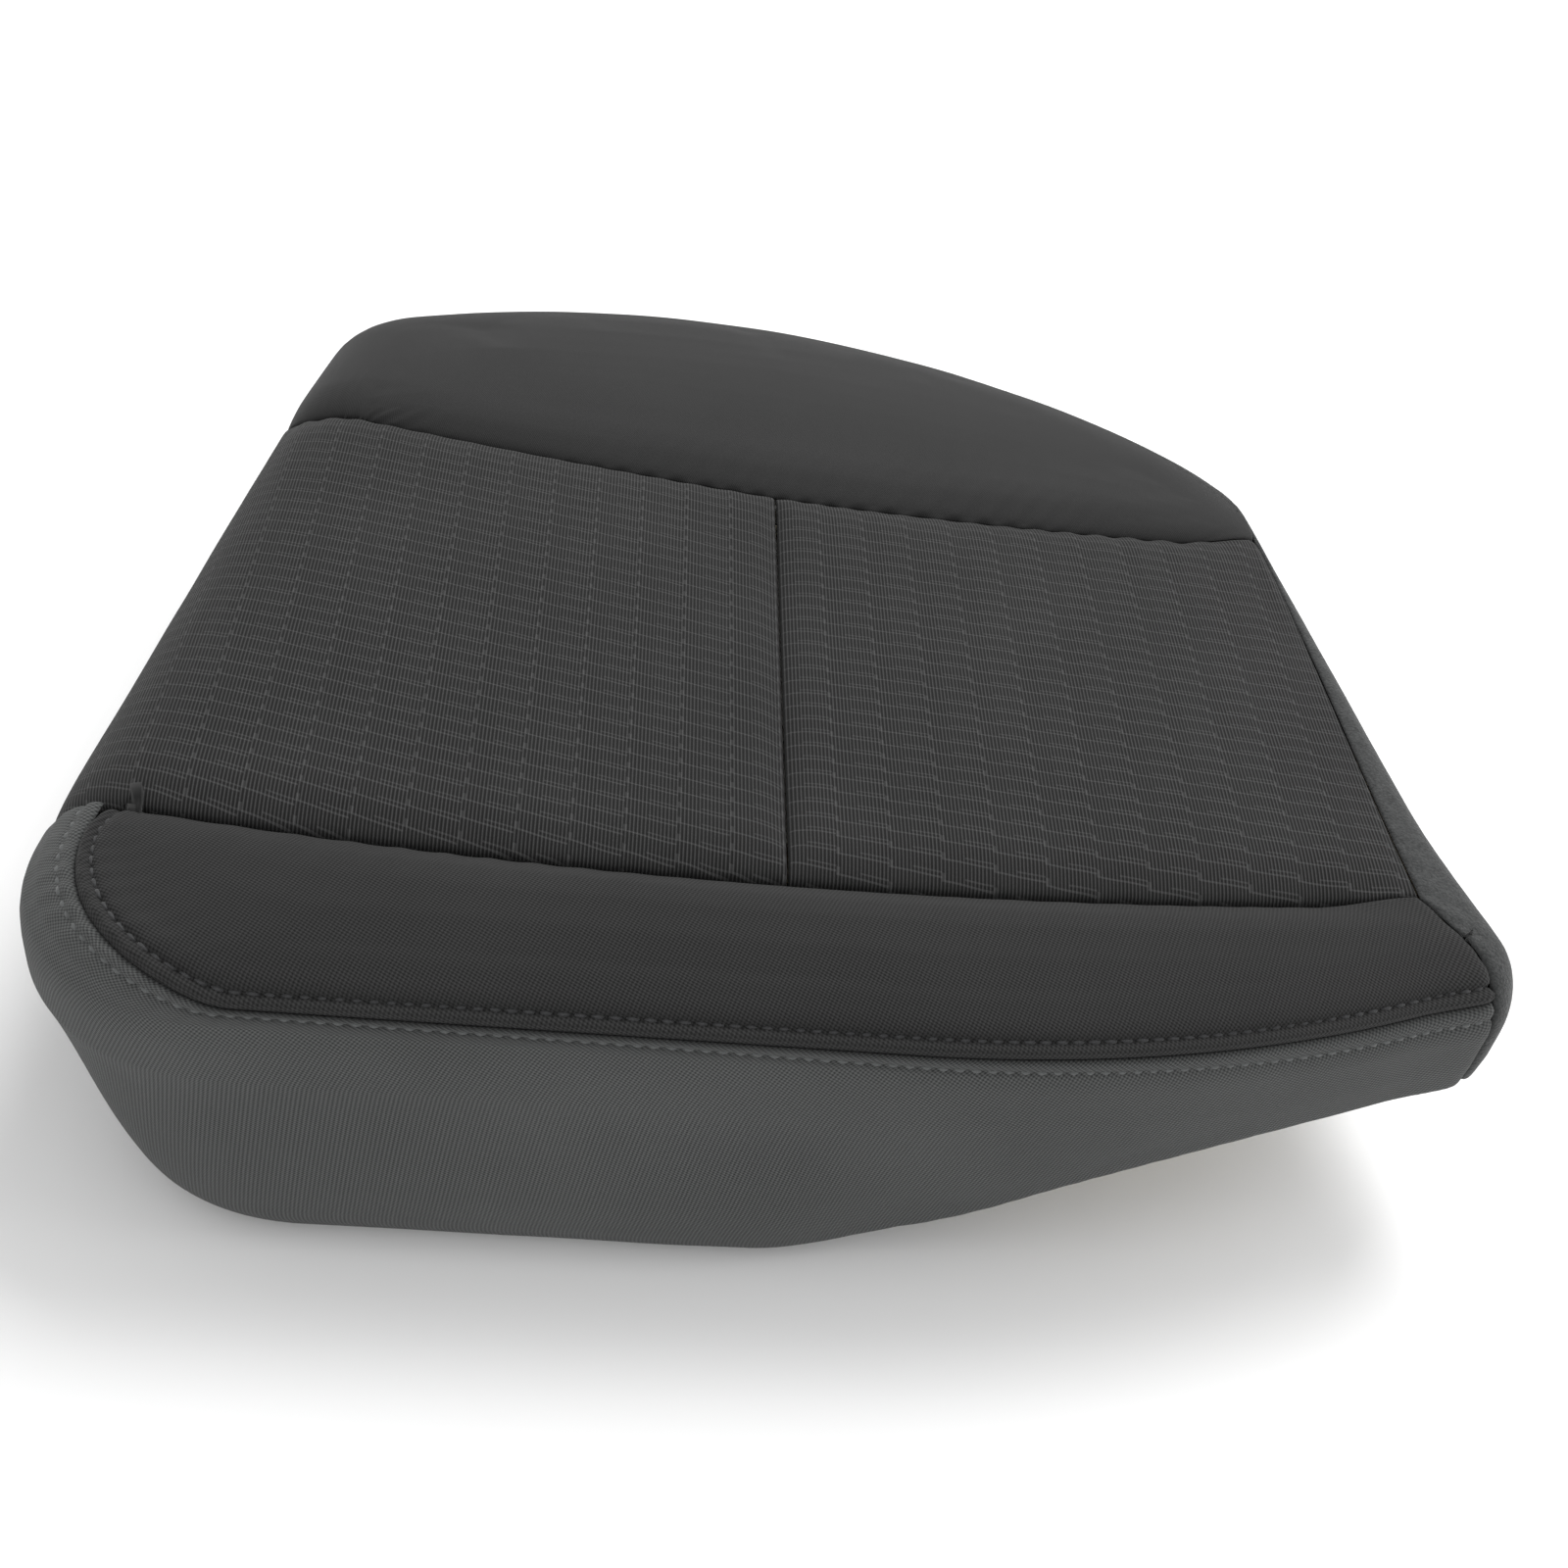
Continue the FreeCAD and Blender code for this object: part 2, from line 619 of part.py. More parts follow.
def cut_panels(cover, threads):
    """Cuts the cover into its nine sewn panels, seam_gap apart."""
    gap = cell("seam_gap")
    half = gap / 2.0
    split = front_seam_y()
    front_half = box("front_region", 2.0 * FAR, FAR, 2.0 * FAR, -FAR, split - half - FAR, -FAR)
    rest = box("rest_region", 2.0 * FAR, FAR, 2.0 * FAR, -FAR, split + half, -FAR)
    side = beyond_side_seam("side_region", -half)
    side_grown = beyond_side_seam("side_region_grown", half)
    rear = behind_rear_seam("rear_region", half)
    rear_grown = behind_rear_seam("rear_region_grown", -half)

    main = combine("Part::Cut", "cover_without_side", cover, side_grown)
    front = combine("Part::Common", "cover_front", main, front_half)
    back = combine("Part::Common", "cover_back", main, rest)
    middle = combine("Part::Cut", "cover_middle", back, rear_grown)
    tail = combine("Part::Common", "cover_rear", back, rear)

    seam_height, insets, shrink, trim = section_at(DIMENSIONS["french_seam_angle"], Term(0.0, "0"))
    belt = cell("belt_height")
    above = outline_prism("french_region", insets, shrink, trim, belt + half, FAR)
    wider = {s: inset - gap for s, inset in insets.items()}
    grown = outline_prism("french_region_grown", wider, shrink, trim - gap, belt, FAR)
    top = combine("Part::Common", "front_top_blank", front, above)
    fascia = combine("Part::Cut", "front_fascia_blank", front, grown)
    panels = {
        "front_top_panel": combine("Part::Cut", "front_top_panel", top, threads["topstitch_upper"]),
        "front_fascia": combine("Part::Cut", "front_fascia", fascia, threads["topstitch_lower"]),
    }

    centre = cell("centre_seam_shift")
    left_top = box("left_top_region", FAR, 2.0 * FAR, FAR, centre - half - FAR, -FAR,
                   cell("left_seam_height") + half)
    left_low = box("left_low_region", FAR, 2.0 * FAR, FAR, centre - half - FAR, -FAR,
                   cell("left_seam_height") - half - FAR)
    right_top = box("right_top_region", FAR, 2.0 * FAR, FAR, centre + half, -FAR, belt + half)
    right_low = box("right_low_region", FAR, 2.0 * FAR, FAR, centre + half, -FAR, belt - half - FAR)
    panels["seat_panel_left"] = combine("Part::Common", "seat_panel_left", middle, left_top)
    panels["side_wall_left"] = combine("Part::Common", "side_wall_left", middle, left_low)
    panels["seat_panel_right"] = combine("Part::Common", "seat_panel_right", middle, right_top)

    strip = combine("Part::Common", "side_strip_blank", cover, side)
    right_hem = combine("Part::Common", "right_hem", middle, right_low)
    panels["side_strip_right"] = strip
    panels["hem_right"] = right_hem

    apron = cell("apron_height")
    high = box("rear_high_region", 2.0 * FAR, 2.0 * FAR, FAR, -FAR, -FAR, apron + half)
    low = box("rear_low_region", 2.0 * FAR, 2.0 * FAR, FAR, -FAR, -FAR, apron - half - FAR)
    panels["rear_panel"] = combine("Part::Common", "rear_panel", tail, high)
    panels["rear_apron"] = combine("Part::Common", "rear_apron", tail, low)
    return panels


# ---------------------------------------------------------------- tie-downs in the foam


def tie_down(name, start, end, ring_count, place):
    """One pulled-down seam: trench, sleeve, trim wire, foam wire and hog rings.

    It is built along X from start to end and then set on its seam with place. Returns the foam
    cutter and the finished pieces.
    """
    wall, slack = cell("sleeve_wall"), cell("sleeve_clearance")
    length = end - start
    top = cell("overall_height") - cell("valley_depth") - cell("cover_thickness")
    floor = top - cell("trench_depth")
    tube = cell("trim_wire_radius") + slack + wall
    trim_z = floor + tube + slack
    foam_z = trim_z - cell("wire_spacing")
    ring_z = (trim_z + foam_z + cell("trim_wire_radius") - cell("foam_wire_radius")) / 2.0
    ring_hole = (cell("wire_spacing") + cell("trim_wire_radius") + cell("foam_wire_radius")) / 2.0
    ring_radius = ring_hole + cell("ring_clearance") + cell("ring_wire_radius")
    ring_reach = ring_radius + cell("ring_wire_radius") + slack
    half_width = cell("trench_width") / 2.0
    spacing = (length - cell("ring_end_inset") * 2.0) / float(ring_count - 1)
    ring_x = [start + cell("ring_end_inset") + spacing * i for i in range(ring_count)]
    notch = cell("ring_notch")

    slot = box(name + "_slot", length, cell("trench_width"), cell("trench_depth") + wall, start,
               -half_width, floor)
    windows = [
        box(f"{name}_window_{i}", notch, ring_reach * 2.0, ring_reach * 2.0, x - notch / 2.0, -ring_reach,
            ring_z - ring_reach)
        for i, x in enumerate(ring_x)
    ]
    wire_start = start - cell("wire_overrun")
    wire_length = length + cell("wire_overrun") * 2.0
    hole = rod(name + "_hole", cell("foam_wire_radius"), wire_length, wire_start, foam_z)
    cutter = gather("Part::MultiFuse", name + "_cutter", [slot, hole] + windows)

    foam_wire = rod("foam_wire_" + name, cell("foam_wire_radius"), wire_length, wire_start, foam_z)
    trim_wire = rod("trim_wire_" + name, cell("trim_wire_radius"), length - wall * 2.0, start + wall, trim_z)

    web = box(name + "_web", length - wall * 4.0, wall * 2.0, top - trim_z, start + wall * 2.0, -wall,
              trim_z)
    tube_rod = rod(name + "_tube", tube, length - wall * 4.0, start + wall * 2.0, trim_z)
    bore = rod(name + "_bore", cell("trim_wire_radius") + slack, length, start, trim_z)
    notches = [
        box(f"{name}_notch_{i}", notch, tube * 2.0, ring_reach * 2.0, x - notch / 2.0, -tube,
            ring_z - ring_reach)
        for i, x in enumerate(ring_x)
    ]
    blank = gather("Part::MultiFuse", name + "_sleeve_blank", [web, tube_rod])
    cuts = gather("Part::MultiFuse", name + "_sleeve_cuts", [bore] + notches)
    sleeve = combine("Part::Cut", "sleeve_" + name, blank, cuts)

    rings = []
    for i, x in enumerate(ring_x):
        ring = doc.addObject("Part::Torus", f"{name}_ring_{i}")
        ring.Radius1 = ring_radius.value
        ring.Radius2 = number(cell("ring_wire_radius"))
        ring.Angle3 = 360.0 - DIMENSIONS["ring_opening"]
        bind(ring, "Radius1", ring_radius)
        bind(ring, "Radius2", cell("ring_wire_radius"))
        bind(ring, "Angle3", cell("ring_opening") * -1.0 + 360.0)
        ring.Placement = Placement(Vector(x.value, 0, ring_z.value), Rotation(Vector(0, 1, 0), 90.0))
        bind(ring, "Placement.Base.x", x)
        bind(ring, "Placement.Base.z", ring_z)
        rings.append(ring)
    hog_rings = gather("Part::Compound", "hog_rings_" + name, rings)

    seat_x, seat_y, turn = place
    pieces = {}
    for piece in (sleeve, hog_rings):
        pieces[piece.Label] = move(piece, seat_x, seat_y, 0.0, turn)
    for wire in (foam_wire, trim_wire):
        holder = gather("Part::Compound", wire.Name + "_placed", [wire])
        pieces[wire.Name] = move(holder, seat_x, seat_y, 0.0, turn)
    return move(cutter, seat_x, seat_y, 0.0, turn), pieces


def make_tie_downs():
    """The tie-downs under the front, rear and centre seams."""
    left_in = cell("roll_left") + cell("trench_end") - cell("left_reach")
    right_in = cell("right_reach") - cell("roll_right") - cell("trench_end")
    run = cell("rear_seam_set_back") - cell("front_seam_set_back")
    rear_left = left_in + run * sine("left_taper") / cosine("left_taper")
    rear_right = right_in - run * sine("right_taper") / cosine("right_taper")
    crosswise = DIMENSIONS_COUNT["cross_rings"]
    seams = (
        ("front", left_in, right_in, crosswise, (0.0, front_seam_y(), 0.0)),
        ("rear", rear_left, rear_right, crosswise,
         (0.0, rear_seam_y(), -(cell("rear_seam_angle") * DEGREE))),
        ("centre", front_seam_y() + cell("centre_trench_end"), rear_seam_y() - cell("centre_trench_end"),
         DIMENSIONS_COUNT["centre_rings"], (cell("centre_seam_shift"), 0.0, DEGREE * 90.0)),
    )
    cutters, pieces = [], {}
    for seam in seams:
        cutter, made = tie_down(*seam)
        cutters.append(cutter)
        pieces.update(made)
    return cutters, pieces


# ---------------------------------------------------------------- J strips, their channels, the felt


def strip_corners(start):
    """The J section: a tall leg, a foot and a short lip with a tooth that holds the pan rim."""
    wall, foot = cell("strip_wall"), cell("strip_clearance")
    inner = wall + cell("strip_gap")
    outer = inner + cell("strip_lip_thickness")
    tooth = cell("strip_tooth")
    lip_top = foot + cell("strip_lip")
    corners = [
        (wall * 0.0, foot),
        (outer, foot),
        (outer, lip_top),
        (inner - tooth, lip_top - tooth),
        (inner, lip_top - tooth * 2.0),
        (inner, foot + wall),
        (wall, foot + wall),
        (wall, foot + cell("strip_height")),
        (wall * 0.0, foot + cell("strip_height")),
    ]
    return [(start(u), z) for u, z in corners]


def channel_corners(start):
    """The section of the channel in the foam that a J strip sits in."""
    room = cell("channel_clearance")
    reach = cell("strip_wall") + cell("strip_gap") + cell("strip_lip_thickness") + room
    top = cell("strip_clearance") + cell("strip_height") + room
    return [(start(u), z) for u, z in ((room * 0.0, -room), (reach, -room), (reach, top), (room * 0.0, top))]


def straight_run(name, corners, length, place):
    """A section extruded along a straight side, with its inner side facing the cushion's middle."""
    body = new_body(name)
    sketch = new_sketch(body, name + "_section", role="YZ_Plane")
    closed_polygon(sketch, corners(lambda u: u))
    pad(body, sketch, length, midplane=True)
    return move(body, *place)


def arc_run(name, corners, span, place):
    """A section swept along the rear arc."""
    radius = cell("rear_arc_radius") - hem_insets()["rear"]
    body = new_body(name)
    sketch = new_sketch(body, name + "_section", role="YZ_Plane")
    closed_polygon(sketch, corners(lambda u: radius - u))
    doc.recompute()
    turned = body.newObject("PartDesign::Revolution", name + "_turned")
    turned.Profile = sketch
    turned.ReferenceAxis = (origin_feature(body, "Z_Axis"), [""])
    turned.Angle = number(span)
    bind(turned, "Angle", span)
    turned.Midplane = True
    sketch.Visibility = False
    return move(body, *place)


def rear_strip_turn():
    """The turn that sets the rear strip's middle rear_strip_set_in from the left side at the rear."""
    run = cell("overall_depth") - cell("front_seam_set_back")
    taper = sine("left_taper") / cosine("left_taper") * run
    across = cell("left_reach") - taper - cell("rear_strip_set_in") - cell("rear_arc_shift")
    share = across / (cell("rear_arc_radius") - hem_insets()["rear"])
    return Term(math.asin(number(share)), f"asin({share.text})")


def make_strips():
    """The four J strips and the channels they sit in."""
    inset = hem_insets()
    front_y = -(cell("overall_depth") / 2.0)
    length = cell("side_strip_length")
    middle = cell("side_strip_middle")
    front_x = cell("rise_start") - cell("front_strip_end") - cell("front_strip_length") / 2.0
    left_x = cosine("left_taper") * inset["left"] + sine("left_taper") * middle - cell("left_reach")
    left_y = front_seam_y() - sine("left_taper") * inset["left"] + cosine("left_taper") * middle
    right_x = cell("right_reach") - cosine("right_taper") * inset["right"] - sine("right_taper") * middle
    right_y = front_seam_y() - sine("right_taper") * inset["right"] + cosine("right_taper") * middle
    straight = {
        "front": (cell("front_strip_length"), (front_x, front_y + inset["front"], 0.0, 0.0)),
        "left": (length, (left_x, left_y, 0.0, DEGREE * -90.0 - cell("left_taper") * DEGREE)),
        "right": (length, (right_x, right_y, cell("rise_height"),
                           DEGREE * 90.0 + cell("right_taper") * DEGREE)),
    }
    strips, channels = {}, []
    for side, (run, place) in straight.items():
        name = "j_strip_" + side
        strips[name] = straight_run(name, strip_corners, run, place)
        longer = run + cell("channel_clearance") * 2.0
        channels.append(straight_run("channel_" + side, channel_corners, longer, place))
    place = (-cell("rear_arc_shift"), cell("overall_depth") / 2.0 - cell("rear_arc_radius"), 0.0,
             rear_strip_turn())
    span = cell("rear_strip_span")
    strips["j_strip_rear"] = arc_run("j_strip_rear", strip_corners, span, place)
    channels.append(arc_run("channel_rear", channel_corners, span + 1.0, place))
    return strips, channels


def make_felt():
    """The anti-squeak felt on the flat part of the base, with rounded corners."""
    body = new_body("base_felt")
    sketch = new_sketch(body, "base_felt_outline")
    across, along = cell("felt_width") / 2.0, cell("felt_depth") / 2.0
    x, y = cell("felt_x"), cell("felt_y")
    closed_polygon(sketch, [(x - across, y - along), (x + across, y - along), (x + across, y + along),
                            (x - across, y + along)])
    slab = pad(body, sketch, cell("cover_thickness"))
    doc.recompute()
    upright = [
        f"Edge{i}"
        for i, edge in enumerate(slab.Shape.Edges, start=1)
        if abs(edge.tangentAt(edge.FirstParameter).z) > 0.9
    ]
    rounding = body.newObject("PartDesign::Fillet", "base_felt_corners")
    rounding.Base = (slab, upright)
    rounding.Radius = DIMENSIONS["felt_corner_radius"]
    bind(rounding, "Radius", cell("felt_corner_radius"))
    return body


# ---------------------------------------------------------------- whole cushion


def make_nodes():
    outer = upholstered_form("outer", Term(0.0, "0"))
    inner = upholstered_form("inner", cell("cover_thickness"))
    threads = {"topstitch_upper": thread("topstitch_upper", 1.0),
               "topstitch_lower": thread("topstitch_lower", -1.0)}
    nodes = cut_panels(make_cover(outer, inner), threads)
    for name, run in threads.items():
        nodes[name] = combine("Part::Common", name, run, nodes_region(name))
    cutters, pieces = make_tie_downs()
    strips, channels = make_strips()
    cutter = gather("Part::MultiFuse", "foam_cutter", cutters + channels)
    nodes["foam_pad"] = combine("Part::Cut", "foam_pad", inner, cutter)
    nodes["base_felt"] = make_felt()
    nodes.update(pieces)
    nodes.update(strips)
    return nodes


def nodes_region(name):
    """The part of the cushion a row of top stitching runs through: ahead of the seam, left of the strip."""
    ahead = box(name + "_ahead", 2.0 * FAR, FAR, 2.0 * FAR, -FAR, front_seam_y() - FAR, -FAR)
    return combine("Part::Cut", name + "_region", ahead, beyond_side_seam(name + "_side", 0.0))


def check_objects():
    """Stops the build if any object failed to compute."""
    for thing in doc.Objects:
        if "Invalid" in thing.State or "Error" in thing.State:
            raise RuntimeError(f"{thing.Name} didn't compute: {thing.State}")


def export_nodes(nodes):
    """Writes one STEP file for each piece."""
    os.makedirs("parts", exist_ok=True)
    for name, node in nodes.items():
        shape = node.Shape
        if shape.isNull() or not shape.isValid() or shape.Volume <= 0.0:
            raise RuntimeError(f"{name} has no valid solid")
        shape.exportStep(f"parts/{name}.step")


make_sheet()
NODES = make_nodes()
doc.recompute()
check_objects()
export_nodes(NODES)
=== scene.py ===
import math

import bpy
import numpy as np
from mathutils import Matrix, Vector, noise
from mathutils.bvhtree import BVHTree


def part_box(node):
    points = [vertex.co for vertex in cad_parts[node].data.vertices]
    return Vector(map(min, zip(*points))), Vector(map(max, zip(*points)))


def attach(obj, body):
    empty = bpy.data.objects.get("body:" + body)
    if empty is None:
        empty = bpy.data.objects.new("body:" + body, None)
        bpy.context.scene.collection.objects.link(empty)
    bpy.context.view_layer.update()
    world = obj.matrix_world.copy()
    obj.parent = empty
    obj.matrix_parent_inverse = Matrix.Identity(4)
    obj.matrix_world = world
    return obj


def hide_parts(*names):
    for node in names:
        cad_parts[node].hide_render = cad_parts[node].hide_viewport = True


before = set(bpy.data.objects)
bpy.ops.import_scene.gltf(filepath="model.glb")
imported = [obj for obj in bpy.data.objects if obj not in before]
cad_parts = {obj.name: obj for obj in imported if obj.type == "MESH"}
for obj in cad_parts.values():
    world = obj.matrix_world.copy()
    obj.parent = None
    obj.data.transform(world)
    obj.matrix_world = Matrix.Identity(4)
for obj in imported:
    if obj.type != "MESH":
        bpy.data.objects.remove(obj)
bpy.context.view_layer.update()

MM = 0.001


# ------------------------------------------------------------------ the cushion's outer form
# The cover is stretched over a moulded pad, so every panel is cut to the pad's form. The form is a
# rounded trapezoid with a soft roll over its top edge, walls that lean in, and an underside that rises
# to a thin right side. All lengths in this section are millimetres.
DEPTH, HEIGHT, BELT = 518.0, 134.0, 88.0
REACH = {"left": 273.0, "right": 274.0}
TAPER = {"left": math.radians(8.4), "right": math.radians(7.8)}
BOW_START, BOW_RADIUS = 46.0, 560.0
REAR_RADIUS, REAR_SHIFT = 350.0, 42.0
CORNERS = {"front_right": 25.0, "rear_right": 30.0, "rear_left": 60.0, "front_left": 74.0}
ROLL_HEIGHT, CORNER_TIGHTENING = 32.0, 0.75
ROLL = {"front": 28.0, "right": 15.0, "rear": 44.0, "left": 42.0}
TUCK = {"front": 4.0, "right": 6.0, "rear": 9.0, "left": 22.0}
FOOT, BASE_ROLL = 20.0, 13.0
HEM = 22.0
RISE_START, RISE_END, RISE = -40.0, 240.0, 74.0
FRONT_SEAM = 80.0 - DEPTH / 2
REAR_SEAM = 332.0 - DEPTH / 2
SEAM_BOW, SEAM_BOW_REACH, SEAM_BOW_SHIFT = 13.0, 255.0, 2.0
SIDE_SEAM_X, SIDE_SEAM_Y = 246.0, -170.0
SIDE_SLOPE_BEHIND, SIDE_SLOPE_AHEAD = 0.0615, 0.45
REAR_SWEEP, REAR_CURL = 0.12, 0.00014
REAR_DIP, REAR_DIP_REACH = 9.0, 90.0
CENTRE_SEAM = 2.0
FORM_MIDDLE = (0.0, -20.0, 50.0)


def plan_sides(insets):
    """The five sides of the plan, each moved in: a line as (point, inward), an arc as (centre, radius)."""
    front, seam = -DEPTH / 2, FRONT_SEAM
    lines = {"front": ((0.0, front), (0.0, 1.0))}
    for side, sign in (("right", -1.0), ("left", 1.0)):
        lines[side] = ((-sign * REACH[side], seam), (sign * math.cos(TAPER[side]), -math.sin(TAPER[side])))
    sides = {}
    for name, (point, inward) in lines.items():
        inward = np.array(inward)
        sides[name] = ("line", np.array(point) + inward * insets[name], inward)
    sides["bow"] = ("arc", np.array((BOW_START, front + BOW_RADIUS)), BOW_RADIUS - insets["front"])
    sides["rear"] = ("arc", np.array((-REAR_SHIFT, DEPTH / 2 - REAR_RADIUS)), REAR_RADIUS - insets["rear"])
    return sides


def nearest(side, p, inset):
    kind, point, way = side
    if kind == "line":
        point = point + way * inset
        return p - way * np.dot(way, p - point)
    out = p - point
    return point + out * ((way - inset) / np.linalg.norm(out))


def arc_between(centre, start, end, count):
    a0, a1 = (math.atan2(*(p - centre)[::-1]) for p in (start, end))
    if a1 < a0:
        a1 += 2 * math.pi
    angles = np.linspace(a0, a1, count, endpoint=False)
    radius = np.linalg.norm(start - centre)
    return centre + radius * np.column_stack((np.cos(angles), np.sin(angles)))


def outline(insets, shrink=1.0, trim=0.0):
    """The closed plan outline, counter-clockwise from the left end of the straight front."""
    sides = plan_sides(insets)
    corners = {}
    for name, first, second, near in (
        ("front_right", "bow", "right", (260.0, -260.0)),
        ("rear_right", "right", "rear", (260.0, 105.0)),
        ("rear_left", "rear", "left", (-260.0, 160.0)),
        ("front_left", "left", "front", (-260.0, -260.0)),
    ):
        radius = (CORNERS[name] - trim) * shrink
        p = np.array(near)
        for _ in range(160):
            p = nearest(sides[second], nearest(sides[first], p, radius), radius)
        corners[name] = (p, nearest(sides[first], p, 0.0), nearest(sides[second], p, 0.0))
    bow = sides["bow"]
    bow_start = bow[1] - np.array((0.0, bow[2]))
    runs = [
        (corners["front_left"][2], bow_start, None),
        (bow_start, corners["front_right"][1], bow[1]),
        (corners["front_right"][1], corners["front_right"][2], corners["front_right"][0]),
        (corners["front_right"][2], corners["rear_right"][1], None),
        (corners["rear_right"][1], corners["rear_right"][2], corners["rear_right"][0]),
        (corners["rear_right"][2], corners["rear_left"][1], sides["rear"][1]),
        (corners["rear_left"][1], corners["rear_left"][2], corners["rear_left"][0]),
        (corners["rear_left"][2], corners["front_left"][1], None),
        (corners["front_left"][1], corners["front_left"][2], corners["front_left"][0]),
    ]
    points = []
    for start, end, centre in runs:
        count = max(8, int(np.linalg.norm(end - start) / 3.0))
        if centre is None:
            points.append(start + np.linspace(0, 1, count, endpoint=False)[:, None] * (end - start))
        else:
            points.append(arc_between(centre, start, end, count))
    return np.vstack(points)


def level(height=None, roll=None):
    """One level of the form: its height and its outline. roll is the angle round the top edge."""
    if roll is not None:
        across, up = math.cos(math.radians(roll)), math.sin(math.radians(roll))
        if roll >= 0:
            insets = {s: ROLL[s] * (1 - across) for s in ROLL}
            shrink = 1 + CORNER_TIGHTENING * (across - 1)
            return HEIGHT - ROLL_HEIGHT * (1 - up), outline(insets, shrink)
        height = FOOT * (1 + up)
    lean = (BELT - height) / (BELT - FOOT)
    tuck = 0.0 if roll is None else BASE_ROLL * (1 - across)
    return height, outline({s: TUCK[s] * lean + tuck for s in TUCK})


TOP_ROLLS = (90, 84, 78, 72, 66, 60, 54, 46, 38, 30, 22, 14, 7, 0)
WALL_HEIGHTS = (88, 78, 70, 62, 54, 46, 38, 30, 20)
BASE_ROLLS = (-12, -25, -38, -50, -62, -76, -90)
rolls = {angle: level(roll=angle) for angle in TOP_ROLLS}
walls = [level(height=float(z)) for z in WALL_HEIGHTS]
bases = [level(roll=angle) for angle in BASE_ROLLS]
hem_insets = {s: TUCK[s] * (BELT / (BELT - FOOT)) + BASE_ROLL + HEM for s in TUCK}
hem_outline = outline(hem_insets, 1.0, HEM)


def underside(x):
    """Height of the underside at x: flat, then an S of two equal arcs, then flat and thin."""
    run = RISE_END - RISE_START
    radius = (run * run + RISE * RISE) / (4 * RISE)
    x = np.asarray(x, dtype=float)
    low = radius - np.sqrt(np.maximum(radius**2 - np.clip(x - RISE_START, 0, run / 2) ** 2, 0))
    high = RISE - radius + np.sqrt(np.maximum(radius**2 - np.clip(RISE_END - x, 0, run / 2) ** 2, 0))
    return np.where(x < RISE_START + run / 2, low, high)


def along(points, fractions):
    """Points at fractions of a polyline's length."""
    steps = np.linalg.norm(np.diff(points, axis=0), axis=1)
    reach = np.concatenate(([0.0], np.cumsum(steps)))
    at = np.asarray(fractions) * reach[-1]
    return np.column_stack([np.interp(at, reach, points[:, k]) for k in range(points.shape[1])])


def stretch_of(ring, inside, count):
    """The run of a closed outline where inside(p) is positive, as count points evenly spaced."""
    value = inside(ring)
    start = next(i for i in range(len(ring)) if value[i - 1] <= 0 < value[i])
    ring, value = np.roll(ring, -start, axis=0), np.roll(value, -start)
    stop = next((i for i in range(len(ring)) if value[i] <= 0), len(ring))

    def cross(i, j):
        share = value[i] / (value[i] - value[j])
        return ring[i] + share * (ring[j] - ring[i])

    run = np.vstack((cross(0, -1), ring[:stop], cross(stop - 1, stop % len(ring))))
    return along(run, np.linspace(0, 1, count))


def side_seam_x(y):
    """The right side seam: nearly straight along the seat, then out to the corner ahead of the front seam."""
    back = np.asarray(y, dtype=float) - SIDE_SEAM_Y
    return SIDE_SEAM_X - np.where(back > 0, SIDE_SLOPE_BEHIND, SIDE_SLOPE_AHEAD) * back


def side_line(p):
    """Distance outside the right side seam, in plan."""
    return p[:, 0] - side_seam_x(p[:, 1])


def front_seam_y(x):
    """The front seam bows back a little towards both sides."""
    return FRONT_SEAM + SEAM_BOW * (np.asarray(x) / SEAM_BOW_REACH) ** 2 - SEAM_BOW_SHIFT


def rear_seam_y(x):
    """The rear seam sweeps back to the left and bends forward a little right of the middle."""
    x = np.asarray(x, dtype=float)
    left = REAR_SWEEP * np.abs(x) + REAR_CURL * x**2
    right = -REAR_DIP * (1 - np.exp(-np.maximum(x, 0) / REAR_DIP_REACH))
    return REAR_SEAM + np.where(x < 0, left, right)


def rear_line(p):
    """Distance behind the rear seam, in plan."""
    return p[:, 1] - rear_seam_y(p[:, 0])


# The top is read by dropping rays on a mesh of the upper form.
rings = [rolls[a] for a in TOP_ROLLS]
ring_size = 360
ring_points = [
    np.column_stack((along(np.vstack((p, p[:1])), np.linspace(0, 1, ring_size, endpoint=False)),
                     np.full(ring_size, z)))
    for z, p in rings
]
cap = [list(range(ring_size))]
sides_of_form = [
    [i * ring_size + j, i * ring_size + (j + 1) % ring_size, (i + 1) * ring_size + (j + 1) % ring_size,
     (i + 1) * ring_size + j]
    for i in range(len(rings) - 1)
    for j in range(ring_size)
]
form_tree = BVHTree.FromPolygons([tuple(p) for p in np.vstack(ring_points)], cap + sides_of_form)


def on_top(plan):
    """Lifts plan points on to the top of the form."""
    out = np.empty((len(plan), 3))
    for i, (x, y) in enumerate(plan):
        hit = form_tree.ray_cast(Vector((x, y, HEIGHT + 50)), Vector((0, 0, -1)))[0]
        out[i] = (x, y, hit.z if hit else HEIGHT - ROLL_HEIGHT)
    return out


# ------------------------------------------------------------------ how a panel is cut and sewn
# Each panel of the cover is cloth laminated to thin foam, cut flat and sewn to its neighbours. It is
# laid out as rows that run across it, padded out by a cloth simulation, and pulled down at its seams.


def eased(count, ends=0.7):
    """Fractions from 0 to 1 that lie closer together at both ends."""
    t = np.linspace(0, 1, count)
    return t - ends * np.sin(2 * math.pi * t) / (2 * math.pi)


def lay_rows(paths, count, ends=0.7):
    """Every path becomes one row of count points. Also gives each point's distance along its row."""
    share = eased(count, ends)
    rows = np.array([along(path, share) for path in paths])
    steps = np.linalg.norm(np.diff(rows, axis=1), axis=2)
    return rows, np.concatenate((np.zeros((len(rows), 1)), np.cumsum(steps, axis=1)), axis=1)


